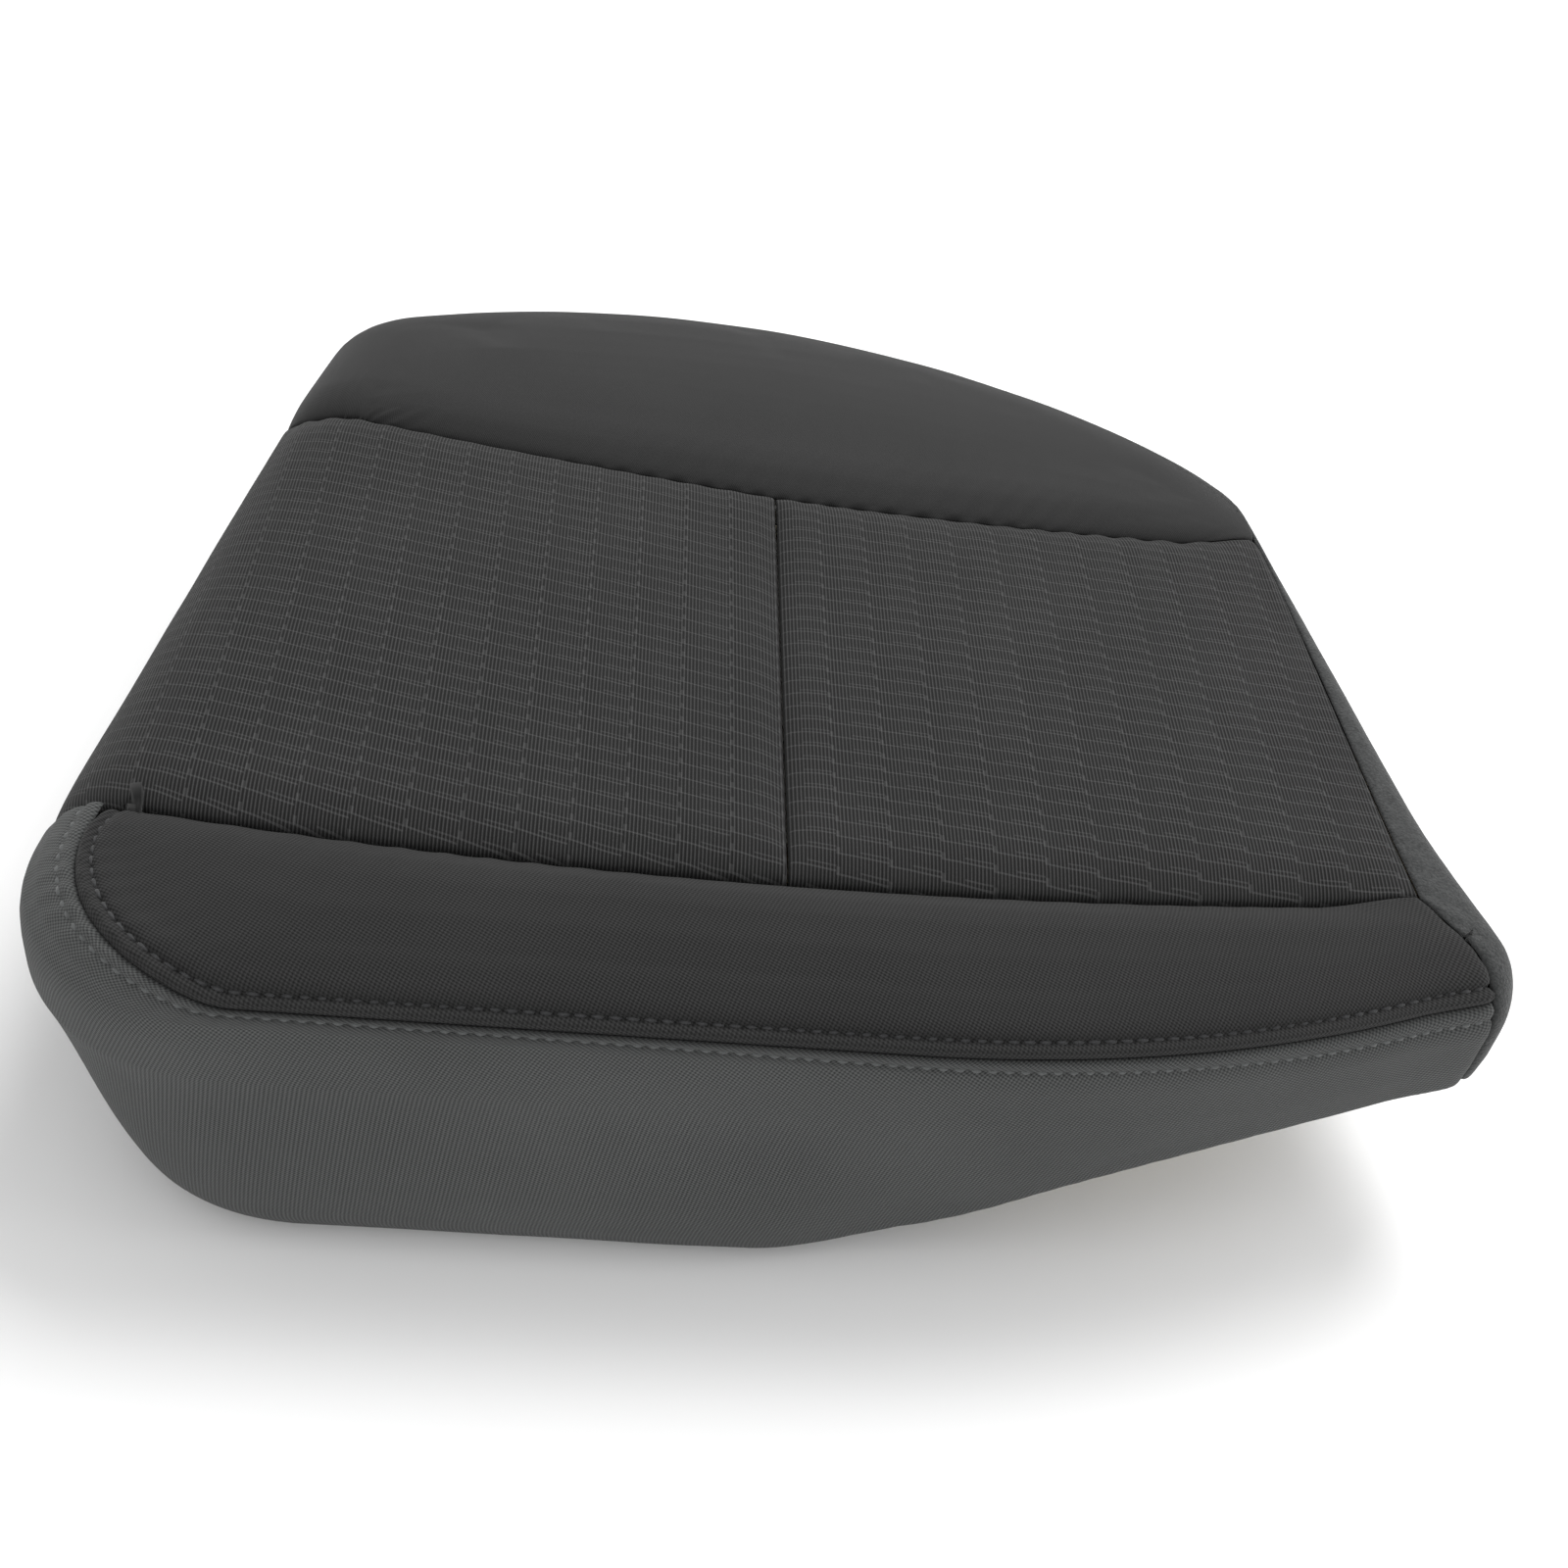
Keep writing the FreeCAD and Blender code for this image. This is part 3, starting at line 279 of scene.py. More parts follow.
def facing(rows):
    """Outward normals of a laid-out panel."""
    across = np.gradient(rows, axis=1)
    down = np.gradient(rows, axis=0)
    out = np.cross(down, across)
    out /= np.maximum(np.linalg.norm(out, axis=2, keepdims=True), 1e-9)
    from_middle = rows - np.array(FORM_MIDDLE)
    if np.mean(np.sum(out * from_middle, axis=2)) < 0:
        out = -out
    return out


def sheet_object(name, rows, uv):
    """A mesh of one row-by-row panel, in metres, with its cut pattern as the UV map, in metres too."""
    nu, nv = rows.shape[:2]
    index = np.arange(nu * nv).reshape(nu, nv)
    quads = np.stack((index[:-1, :-1], index[1:, :-1], index[1:, 1:], index[:-1, 1:]), axis=-1).reshape(-1, 4)
    normal = facing(rows)
    a, b, c = (rows.reshape(-1, 3)[quads[:, k]] for k in (0, 1, 3))
    if np.mean(np.sum(np.cross(b - a, c - a) * normal.reshape(-1, 3)[quads[:, 0]], axis=1)) < 0:
        quads = quads[:, ::-1]
    mesh = bpy.data.meshes.new(name)
    mesh.from_pydata((rows.reshape(-1, 3) * MM).tolist(), [], quads.tolist())
    layer = mesh.uv_layers.new(name="cut")
    flat = (uv.reshape(-1, 2) * MM)[quads.reshape(-1)]
    layer.data.foreach_set("uv", flat.ravel().astype(np.float32))
    mesh.update()
    piece = bpy.data.objects.new(name, mesh)
    bpy.context.scene.collection.objects.link(piece)
    return piece


def only(piece):
    bpy.ops.object.select_all(action="DESELECT")
    piece.select_set(True)
    bpy.context.view_layer.objects.active = piece


def padded_out(rows, crown, spacing=9.0):
    """How far a pressure inside moves the panel when its edges are held, scaled to a crown in mm."""
    nu, nv = rows.shape[:2]
    long = np.linalg.norm(np.diff(rows[:, nv // 2], axis=0), axis=1).sum()
    wide = np.linalg.norm(np.diff(rows[nu // 2], axis=0), axis=1).sum()
    cu, cv = max(6, int(long / spacing)), max(6, int(wide / spacing))
    iu, iv = np.linspace(0, nu - 1, cu), np.linspace(0, nv - 1, cv)
    coarse = rows[np.round(iu).astype(int)][:, np.round(iv).astype(int)]
    piece = sheet_object("puff_trial", coarse, coarse[..., :2])
    held = piece.vertex_groups.new(name="seams")
    index = np.arange(cu * cv).reshape(cu, cv)
    border = set(index[0]) | set(index[-1]) | set(index[:, 0]) | set(index[:, -1])
    held.add([int(i) for i in border], 1.0, "REPLACE")
    only(piece)
    cloth = piece.modifiers.new("pressure", "CLOTH")
    cloth.settings.vertex_group_mass = "seams"
    cloth.settings.quality = 6
    cloth.settings.use_pressure = True
    cloth.settings.uniform_pressure_force = 4.0
    cloth.settings.effector_weights.gravity = 0.0
    cloth.point_cache.frame_start, cloth.point_cache.frame_end = 1, 20
    for frame_number in range(1, 21):
        bpy.context.scene.frame_set(frame_number)
    bpy.ops.object.modifier_apply(modifier=cloth.name)
    after = np.empty(cu * cv * 3, dtype=np.float32)
    piece.data.vertices.foreach_get("co", after)
    move = after.reshape(cu, cv, 3) / MM - coarse
    bpy.data.objects.remove(piece)
    bpy.context.scene.frame_set(1)
    reach = np.linalg.norm(move, axis=2)
    move *= (np.minimum(reach, np.percentile(reach, 99)) / np.maximum(reach, 1e-9))[..., None]
    move *= crown / max(np.linalg.norm(move, axis=2).max(), 1e-6)
    fine = np.array([[np.interp(np.arange(nv), iv, move[i, :, k]) for k in range(3)] for i in range(cu)])
    fine = np.array([[np.interp(np.arange(nu), iu, fine[:, k, j]) for k in range(3)] for j in range(nv)])
    return fine.transpose(2, 0, 1)


def fall(distance, depth, width):
    """The round shoulder of a panel where a seam pulls it down: steep at the seam, flat at width."""
    t = np.clip(1 - distance / width, 0, 1)
    return depth * (1 - np.sqrt(1 - t * t))


def waves(s, seed, pitch):
    """Uneven ripples along a seam, from -1 to 1, the same on every run."""
    phase = np.random.default_rng(seed).uniform(0, 2 * math.pi, 6)
    drift = 0.8 * np.sin(s / (pitch * 2.7) + phase[0]) + 0.6 * np.sin(s / (pitch * 1.3) + phase[1])
    size = 0.5 + 0.3 * np.sin(s / (pitch * 3.9) + phase[2]) + 0.2 * np.sin(s / (pitch * 1.9) + phase[3])
    return size * np.sin(2 * math.pi * s / pitch + 1.6 * drift)


def unevenness(rows, scale, amount, seed):
    """Slow rise and fall of hand-stretched cloth."""
    flat = rows.reshape(-1, 3) / scale + seed
    value = [noise.noise(Vector(p)) for p in flat]
    return np.array(value).reshape(rows.shape[:2]) * amount


def smooth(value, start, end):
    """Rises from 0 at start to 1 at end, level at both."""
    t = np.clip((np.asarray(value) - start) / (end - start), 0, 1)
    return t * t * (3 - 2 * t)


HOLLOW, DROOP, FLARE, BELLY = 4.0, 11.0, 9.0, 9.0


def settle(rows):
    """Use and stretch: a hollow seat, a drooping rear edge, a flared right corner, a full front."""
    x, y, z = rows[..., 0], rows[..., 1], rows[..., 2]
    high = np.clip(z / HEIGHT, 0, 1)
    window = np.clip(1 - (x / 245) ** 2, 0, 1) * np.clip(1 - ((y + 30) / 230) ** 2, 0, 1)
    hollow = HOLLOW * window * smooth(z, 105, 120)
    droop = DROOP * smooth(y, 120, 250) * high
    flare = FLARE * smooth(x, 238, 272) * smooth(-y, 110, 200)
    belly = BELLY * smooth(-y, 190, 250) * smooth(-z, -85, -25) * smooth(-x, -60, 0)
    return rows + np.stack((flare, -belly, -hollow - droop), axis=-1)


SLACK_TIE = 0.2


def tie(rows):
    """How hard a tied seam pulls: fully on top, and hardly at all where it runs off over a shoulder."""
    outside = side_line(rows.reshape(-1, 3)).reshape(rows.shape[:2])
    return SLACK_TIE + (1 - SLACK_TIE) * smooth(rows[..., 2], 112, 131) * smooth(-outside, 0, 42)


SEAM_HOLD = 16.0


def sew_panel(name, rows, reach, uv, seams, crown, extra=None, thickness=4.0, rough=0.5, seed=1):
    """Makes one panel. seams gives (depth, width) for its start, end, first and last edge, or None.

    A tied seam pulls by the distance in plan from the front or rear seam, so it runs on past an edge.
    """
    total = reach[:, -1:]
    steps = np.linalg.norm(np.diff(rows, axis=0), axis=2)
    side = np.concatenate((np.zeros((1, rows.shape[1])), np.cumsum(steps, axis=0)), axis=0)
    far = side[-1:] - side
    distances = (reach, total - reach, side, far)
    deep = np.zeros(rows.shape[:2])
    if TIED in seams:
        plan = rows.reshape(-1, 3)
        to_seam = np.minimum(np.abs(behind_front(plan)), np.abs(rear_line(plan))).reshape(rows.shape[:2])
        deep += (fall(to_seam, *TIED) * tie(rows)) ** 3
    for distance, seam in zip(distances, seams):
        if seam is not None and seam != TIED:
            deep += fall(distance, *seam) ** 3
    out = facing(rows)
    inner = np.min([smooth(distance, 0, SEAM_HOLD) for distance in distances], axis=0)
    puff = np.maximum(np.sum(padded_out(rows, crown) * out, axis=2), 0) * inner
    lift = puff - np.cbrt(deep) + unevenness(rows, 46.0, rough, seed) * inner
    if extra is not None:
        lift = lift + extra(rows, distances)
    shaped = settle(rows + out * lift[..., None])
    shaped[..., 2] = np.maximum(shaped[..., 2], underside(shaped[..., 0]))
    piece = sheet_object(name, shaped, uv)
    only(piece)
    wall = piece.modifiers.new("laminate", "SOLIDIFY")
    wall.thickness = thickness * MM
    wall.offset = -1.0
    bpy.ops.object.modifier_apply(modifier=wall.name)
    bpy.ops.object.shade_smooth()
    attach(piece, "root")
    return piece, shaped, distances


def spread_uv(rows, reach):
    """The cut pattern of a top panel: each row laid out straight from where it starts."""
    start, end = rows[:, 0, :2], rows[:, -1, :2]
    way = end - start
    way /= np.maximum(np.linalg.norm(way, axis=1, keepdims=True), 1e-6)
    return start[:, None] + way[:, None] * reach[..., None]


def wall_uv(rows, reach):
    """The cut pattern of a wall panel: along the belt, and down from its top seam."""
    middle = rows[:, rows.shape[1] // 3]
    run = np.concatenate(([0.0], np.cumsum(np.linalg.norm(np.diff(middle, axis=0), axis=1))))
    return np.stack((np.broadcast_to(run[:, None], reach.shape), -reach), axis=-1)


def wall_paths(levels, inside, count, hem_inside=None):
    """Paths down the walls from the first level to the hem, at count places round the outline."""
    levels = [(z, ring) for z, ring in levels if np.max(inside(ring)) > 0.5]
    stack = []
    for z, ring in levels:
        run = stretch_of(ring, inside, count)
        stack.append(on_top(run) if z is None else np.column_stack((run, np.full(count, z))))
    hem = stretch_of(hem_outline, hem_inside or inside, count)
    paths = []
    for i in range(count):
        path = [tuple(ring[i]) for ring in stack]
        kept = []
        for a, b in zip(path, path[1:]):
            kept.append(a)
            za, zb = a[2] - underside(a[0]), b[2] - underside(b[0])
            if zb <= 0.0:
                share = za / (za - zb) if za > zb else 0.0
                kept.append(tuple(np.array(a) + share * (np.array(b) - np.array(a))))
                break
        edge = (*hem[i], float(underside(hem[i][0])))
        mid = (np.array(kept[-1]) + np.array(edge)) / 2
        kept += [(mid[0], mid[1], float(underside(mid[0]))), edge]
        path = along(np.array(kept), np.linspace(0, 1, 160))
        low = np.clip(1 - (path[:, 2] - underside(path[:, 0])) / 22.0, 0, 1)[:, None]
        for _ in range(10):
            soft = path.copy()
            soft[1:-1] = (path[:-2] + 2 * path[1:-1] + path[2:]) / 4
            path = path + low * (soft - path)
        paths.append(path)
    return paths


# ------------------------------------------------------------------ seat panels, left and right
# The two middle panels are ribbed jacquard. They meet in a narrow sewn channel, their front and rear
# seams are pulled into the pad by wires, and the left one runs over the shoulder and down the side.
TIED, CHANNEL, SHOULDER, PLAIN = (9.5, 26.0), (5.0, 13.0), (1.6, 6.0), (1.4, 6.0)
GAP = 0.3


def behind_front(p):
    return p[:, 1] - front_seam_y(p[:, 0]) - GAP


def left_side(p):
    return np.minimum(np.minimum(behind_front(p), -rear_line(p) - GAP), -p[:, 0])


def plan_walk(start, end, count):
    """Points on top of the form on a straight plan line from start up to, but not at, end."""
    return on_top(start + np.linspace(0, 1, count, endpoint=False)[:, None] * (end - start))


def seam_walk(start, end, share, count):
    """Like plan_walk, but the first and last rows follow the curved front and rear seams."""
    t = np.linspace(0, 1, count, endpoint=False)
    plan = start + t[:, None] * (end - start)
    for seam, weight in ((front_seam_y, 1 - share), (rear_seam_y, share)):
        bend = seam(plan[:, 0]) - seam(start[0]) - t * (seam(end[0]) - seam(start[0]))
        plan[:, 1] += weight * bend
    return on_top(plan)


def gathered(edge, amount, reach, pitch, seed, where=None):
    """Small gathers that stand off one edge and fade away from it."""
    def shape(rows, distances):
        s = np.linalg.norm(np.diff(rows, axis=0 if edge < 2 else 1), axis=2)
        run = np.cumsum(s, axis=0 if edge < 2 else 1)
        zero = np.zeros_like(run[:1]) if edge < 2 else np.zeros_like(run[:, :1])
        run = np.concatenate((zero, run), axis=0 if edge < 2 else 1)
        size = amount * np.exp(-distances[edge] / reach) * np.clip(distances[edge] / 2.0, 0, 1)
        if where is not None:
            size = size * where(rows)
        return size * waves(run, seed, pitch)
    return shape


def both(*shapes):
    return lambda rows, distances: sum(shape(rows, distances) for shape in shapes)


class Surface:
    """A material under construction: its shader, and short calls that add and join its nodes."""

    def __init__(self, name, roughness, sheen=0.0, metallic=0.0):
        self.material = bpy.data.materials.new(name)
        self.material.use_nodes = True
        self.tree = self.material.node_tree
        self.shader = self.tree.nodes["Principled BSDF"]
        self.shader.inputs["Roughness"].default_value = roughness
        self.shader.inputs["Metallic"].default_value = metallic
        self.shader.inputs["Sheen Weight"].default_value = sheen
        self.shader.inputs["Sheen Roughness"].default_value = 0.5
        self.shader.inputs["Specular IOR Level"].default_value = 0.25 if metallic == 0 else 0.5

    def feed(self, socket, value):
        if hasattr(value, "is_output"):
            self.tree.links.new(value, socket)
        else:
            socket.default_value = value

    def calc(self, operation, *values):
        node = self.tree.nodes.new("ShaderNodeMath")
        node.operation = operation
        for socket, value in zip(node.inputs, values):
            self.feed(socket, value)
        return node.outputs[0]

    def cut(self):
        """The cut pattern's two directions, in metres."""
        uv = self.tree.nodes.new("ShaderNodeUVMap")
        uv.uv_map = "cut"
        parts = self.tree.nodes.new("ShaderNodeSeparateXYZ")
        self.tree.links.new(uv.outputs[0], parts.inputs[0])
        return uv.outputs[0], parts.outputs[0], parts.outputs[1]

    def place(self):
        return self.tree.nodes.new("ShaderNodeTexCoord").outputs["Object"]

    def grain(self, vector, scale, detail=3.0):
        node = self.tree.nodes.new("ShaderNodeTexNoise")
        self.tree.links.new(vector, node.inputs["Vector"])
        node.inputs["Scale"].default_value = scale
        node.inputs["Detail"].default_value = detail
        return node.outputs[0]

    def blend(self, amount, dark, light):
        node = self.tree.nodes.new("ShaderNodeValToRGB")
        self.tree.links.new(amount, node.inputs[0])
        for stop, colour in zip(node.color_ramp.elements, (dark, light)):
            stop.color = (*colour, 1.0)
        return node.outputs[0]

    def dress(self, piece, colour, height, depth, strength=1.0):
        """Finishes the material with its colour and relief, depth in metres, and puts it on the piece."""
        self.feed(self.shader.inputs["Base Color"], colour)
        bump = self.tree.nodes.new("ShaderNodeBump")
        bump.inputs["Distance"].default_value = depth
        bump.inputs["Strength"].default_value = strength
        self.tree.links.new(height, bump.inputs["Height"])
        self.tree.links.new(bump.outputs[0], self.shader.inputs["Normal"])
        self.wear(piece)

    def wear(self, *pieces):
        for piece in pieces:
            piece.data.materials.clear()
            piece.data.materials.append(self.material)


# Ribs run from front to rear. Light yarns cross them in short staggered steps, column by column.
RIB_PITCH, COLUMN_WIDTH, YARN_PITCH = 0.00145, 0.020, 0.0082
RIB_DARK, RIB_LIGHT = (0.0035, 0.0035, 0.0035), (0.064, 0.064, 0.064)


def jacquard(piece, slope):
    cloth = Surface("rib_jacquard", 0.88, sheen=0.05)
    pattern, u, v = cloth.cut()
    calc = cloth.calc
    column = calc("DIVIDE", u, COLUMN_WIDTH)
    share = calc("FRACT", column)
    stagger = calc("MULTIPLY", calc("FLOOR", column), 0.382)
    drift = calc("MULTIPLY", share, slope)
    steps = calc("FRACT", calc("ADD", calc("ADD", calc("DIVIDE", v, YARN_PITCH), stagger), drift))
    yarn = calc("LESS_THAN", steps, 0.085)
    second = calc("COMPARE", steps, 0.27, 0.04)
    second = calc("MULTIPLY", second, calc("GREATER_THAN", share, 0.45))
    link = calc("MULTIPLY", calc("LESS_THAN", share, 0.07), calc("LESS_THAN", steps, 0.38))
    lines = calc("MAXIMUM", calc("MAXIMUM", yarn, calc("MULTIPLY", second, 0.8)), calc("MULTIPLY", link, 0.8))
    rib = calc("MULTIPLY_ADD", calc("SINE", calc("MULTIPLY", u, 2 * math.pi / RIB_PITCH)), 0.5, 0.5)
    slub = cloth.grain(pattern, 1600.0, 2.0)
    body = calc("MULTIPLY", calc("POWER", rib, 2.2), calc("MULTIPLY_ADD", slub, 0.8, 0.4))
    level = calc("MULTIPLY_ADD", lines, 0.4, calc("MULTIPLY", body, 0.8))
    patchy = calc("MULTIPLY_ADD", cloth.grain(pattern, 14.0), 0.16, -0.08)
    colour = cloth.blend(calc("ADD", level, patchy), RIB_DARK, RIB_LIGHT)
    height = calc("MULTIPLY_ADD", lines, 0.35, calc("MULTIPLY", rib, 0.8))
    cloth.dress(piece, colour, height, 0.00035)


row_count = 130
shares = np.linspace(0, 1, row_count)
levels = [rolls[a] for a in TOP_ROLLS if a <= 60] + [w for w in walls if w[0] >= 70.0]
stack = [(z, stretch_of(ring, left_side, row_count)[::-1]) for z, ring in levels]
left_rows = []
for i, share in enumerate(shares):
    x0 = CENTRE_SEAM - GAP
    y0 = front_seam_y(x0) + GAP + share * (rear_seam_y(x0) - front_seam_y(x0) - 2 * GAP)
    top = seam_walk(np.array((x0, y0)), stack[0][1][i], share, 26)
    down = np.array([(*ring[i], z) for z, ring in stack])
    left_rows.append(np.vstack((top, down)))
rows, reach = lay_rows(left_rows, 170)
seat_left, _, _ = sew_panel(
    "seat_panel_left_cover", rows, reach, spread_uv(rows, reach),
    (CHANNEL, PLAIN, TIED, TIED), 4.0,
    both(gathered(3, 0.7, 14.0, 17.0, 11), gathered(2, 0.5, 12.0, 19.0, 12)), seed=2)
jacquard(seat_left, 0.62)
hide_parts("seat_panel_left")

right_rows = []
for share in shares:
    x0 = CENTRE_SEAM + GAP
    y0 = front_seam_y(x0) + GAP + share * (rear_seam_y(x0) - front_seam_y(x0) - 2 * GAP)
    y1 = front_seam_y(SIDE_SEAM_X)
    y1 += GAP + share * (rear_seam_y(229.0) - y1 - 2 * GAP)
    x1 = side_seam_x(y1) - GAP
    row = seam_walk(np.array((x0, y0)), np.array((x1, y1)), share, 60)
    right_rows.append(np.vstack((row, on_top(np.array([(x1, y1)])))))
rows, reach = lay_rows(right_rows, 140)
seat_right, _, _ = sew_panel(
    "seat_panel_right_cover", rows, reach, spread_uv(rows, reach),
    (CHANNEL, SHOULDER, TIED, TIED), 4.0,
    both(gathered(3, 0.8, 14.0, 15.0, 13), gathered(2, 0.5, 12.0, 19.0, 14)), seed=3)
jacquard(seat_right, 0.25)
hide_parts("seat_panel_right")


# ------------------------------------------------------------------ front top panel and fascia
# The front edge is two panels of basket-weave cloth. They meet in a French seam below the roll, with
# the allowances pressed to both sides and a row of top stitching through each.
FRENCH = (2.4, 3.2)
FRENCH_INSET = {"front": 4.6, "right": 2.6, "rear": 8.0, "left": 23.0}
STITCH_OFFSET, STITCH_PITCH = 6.8, 6.0
FRENCH_ROLL = math.radians(22)
FRENCH_TIGHTENING, FRENCH_LOOSENING = 0.86, 0.085
BASKET_PITCH = 0.0019
CORNER_RUN = 9.0


def front_part(p):
    return np.minimum(front_seam_y(p[:, 0]) - GAP - p[:, 1], -side_line(p) - GAP)


def french_ridge(edge, height):
    """The ridge of the pressed allowance, and the dip where the top stitching pulls the cloth down."""
    def shape(rows, distances):
        d = distances[edge]
        run = np.concatenate((np.zeros((1, rows.shape[1])),
                              np.cumsum(np.linalg.norm(np.diff(rows, axis=0), axis=2), axis=0)), axis=0)
        pinch = 0.75 + 0.25 * np.cos(2 * math.pi * run / STITCH_PITCH)
        ridge = height * np.exp(-(((d - 3.4) / 1.8) ** 2))
        dip = -1.3 * height * pinch * np.exp(-(((d - STITCH_OFFSET) / 1.2) ** 2))
        swell = 0.6 * height * np.exp(-(((d - 12.0) / 4.5) ** 2))
        return ridge + dip + swell
    return shape


def front_left_corner(rows):
    x, y = rows[..., 0], rows[..., 1]
    return np.exp(-(((x + 225) / 38) ** 2) - (((y + 225) / 42) ** 2))


def french_ring(share):
    """A ring on the front roll: the French seam at 0, and the edge roll below it at 1."""
    below = {s: ROLL[s] * (1 - math.cos(FRENCH_ROLL)) for s in ROLL}
    insets = {s: FRENCH_INSET[s] * (1 - share) + below[s] * share for s in ROLL}
    return outline(insets, FRENCH_TIGHTENING + FRENCH_LOOSENING * share)


def basket(piece, name, dark, light):
    """A basket weave of small square knots, set on the diagonal."""
    cloth = Surface(name, 0.9, sheen=0.06)
    pattern, u, v = cloth.cut()
    calc = cloth.calc
    turn = 2 * math.pi / BASKET_PITCH
    warp = calc("SINE", calc("MULTIPLY", calc("ADD", u, calc("MULTIPLY", v, 0.5)), turn))
    weft = calc("SINE", calc("MULTIPLY", calc("SUBTRACT", v, calc("MULTIPLY", u, 0.22)), turn))
    knots = calc("MULTIPLY_ADD", calc("MULTIPLY", warp, weft), 0.5, 0.5)
    fibre = calc("MULTIPLY_ADD", cloth.grain(pattern, 2200.0, 2.0), 0.8, -0.4)
    patchy = calc("MULTIPLY_ADD", cloth.grain(pattern, 11.0), 0.3, -0.15)
    colour = cloth.blend(calc("ADD", calc("ADD", knots, fibre), patchy), dark, light)
    cloth.dress(piece, colour, calc("ADD", knots, calc("MULTIPLY", fibre, 0.5)), 0.0003)


column_count = 300
french_run = on_top(stretch_of(french_ring(0.0), front_part, column_count))
seam_end = side_seam_x(front_seam_y(SIDE_SEAM_X)) - GAP
seam_x = np.linspace(french_run[0, 0] + CORNER_RUN, seam_end, column_count)
front_columns = []
for i in range(column_count):
    start = np.array((seam_x[i], front_seam_y(seam_x[i]) - GAP))
    path = plan_walk(start, french_run[i, :2], 30)
    front_columns.append(np.vstack((path, french_run[i])))
rows, reach = lay_rows(front_columns, 74, 0.6)
front_top, front_top_shape, front_top_far = sew_panel(
    "front_top_panel_cover", rows, reach, spread_uv(rows, reach),
    (TIED, FRENCH, None, SHOULDER), 4.0,
    both(french_ridge(1, 1.4), gathered(1, 1.3, 16.0, 10.0, 21, front_left_corner),
         gathered(0, 0.6, 14.0, 18.0, 22)), seed=4)
# The same basket cloth as the fascia, given a darker colour here: painted shade on the top panel, which faces
# away from the front light.
basket(front_top, "basket_cloth_top_painted_shade", (0.003, 0.003, 0.003), (0.030, 0.030, 0.030))
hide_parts("front_top_panel")

fascia_levels = [(None, french_ring(share)) for share in (0.0, 0.35, 0.7)]
fascia_levels += [rolls[a] for a in TOP_ROLLS if a <= 22] + walls + bases
fascia_paths = wall_paths(fascia_levels, front_part, 420)
rows, reach = lay_rows(fascia_paths, 96, 0.55)
fascia, fascia_shape, fascia_far = sew_panel(
    "front_fascia_cover", rows, reach, wall_uv(rows, reach),
    (FRENCH, None, PLAIN, SHOULDER), 2.5,
    both(french_ridge(0, 0.7), gathered(0, 1.1, 20.0, 11.0, 23, front_left_corner)), seed=5)
# The same basket cloth as the top panel, given a lighter colour here: painted light on the fascia, which
# faces the front light.
basket(fascia, "basket_cloth_fascia_painted_light", (0.018, 0.019, 0.019), (0.098, 0.101, 0.100))
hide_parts("front_fascia")


# ------------------------------------------------------------------ rear panel and rear apron
# Behind the rear seam the cover is a fine plain cloth. The rear panel rolls down over the pad's rear
# edge to a plain seam, and the apron below it turns under the pad to the hem.
PLAIN_PITCH = 0.0009
rear_count = 300


def rear_part(p):
    return np.minimum(rear_line(p) - GAP, -side_line(p) - GAP)


def folded_paths(down, start_line, count):
    """Paths from a straight seam on top to the tops of the given wall paths, and on down them."""
    first = np.array([path[0, :2] for path in down])
    edge = CORNER_RUN / np.linalg.norm(first[-1] - first[0])
    starts = first[0] + np.linspace(edge, 1 - edge, count)[:, None] * (first[-1] - first[0])
    starts = start_line(starts)
    return [np.vstack((plan_walk(starts[i], first[i] + 1e-3, 26), down[i])) for i in range(count)]


def on_rear_seam(p):
    p = p.copy()
    p[:, 1] = rear_seam_y(p[:, 0]) + GAP
    return p


def plain_cloth(piece):
    """Fine smooth cloth: a close weave that shows only as a slight tooth."""
    cloth = Surface("plain_cloth", 0.75, sheen=0.05)
    pattern, u, v = cloth.cut()
    calc = cloth.calc
    turn = 2 * math.pi / PLAIN_PITCH
    weave = calc("MULTIPLY", calc("SINE", calc("MULTIPLY", u, turn)), calc("SINE", calc("MULTIPLY", v, turn)))
    weave = calc("MULTIPLY_ADD", weave, 0.5, 0.5)
    tooth = calc("MULTIPLY_ADD", cloth.grain(pattern, 1500.0, 2.0), 0.5, -0.25)
    patchy = calc("MULTIPLY_ADD", cloth.grain(pattern, 9.0), 0.5, -0.25)
    level = calc("ADD", calc("ADD", calc("MULTIPLY_ADD", weave, 0.3, 0.35), tooth), patchy)
    colour = cloth.blend(level, (0.007, 0.007, 0.007), (0.022, 0.022, 0.022))
    cloth.dress(piece, colour, calc("ADD", weave, tooth), 0.00012)


rear_levels = [rolls[a] for a in TOP_ROLLS if a <= 84] + [w for w in walls if w[0] >= 78.0]
rear_stack = [(z, stretch_of(ring, rear_part, rear_count)) for z, ring in rear_levels]
rear_down = [np.array([(*ring[i], z) for z, ring in rear_stack]) for i in range(rear_count)]
rear_columns = folded_paths(rear_down, on_rear_seam, rear_count)
rows, reach = lay_rows(rear_columns, 140, 0.6)
rear, _, _ = sew_panel(
    "rear_panel_cover", rows, reach, spread_uv(rows, reach),
    (TIED, PLAIN, SHOULDER, TIED), 4.5,
    both(gathered(0, 1.0, 15.0, 13.0, 31), gathered(1, 0.5, 9.0, 12.0, 32)), seed=6)
plain_cloth(rear)
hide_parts("rear_panel")

apron_levels = [w for w in walls if w[0] <= 78.0] + bases
apron_paths = wall_paths(apron_levels, rear_part, rear_count)
rows, reach = lay_rows(apron_paths, 70, 0.5)
apron, _, _ = sew_panel(
    "rear_apron_cover", rows, reach, wall_uv(rows, reach), (PLAIN, None, PLAIN, PLAIN), 2.0,
    gathered(0, 0.6, 10.0, 13.0, 33), seed=7)
plain_cloth(apron)
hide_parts("rear_apron")


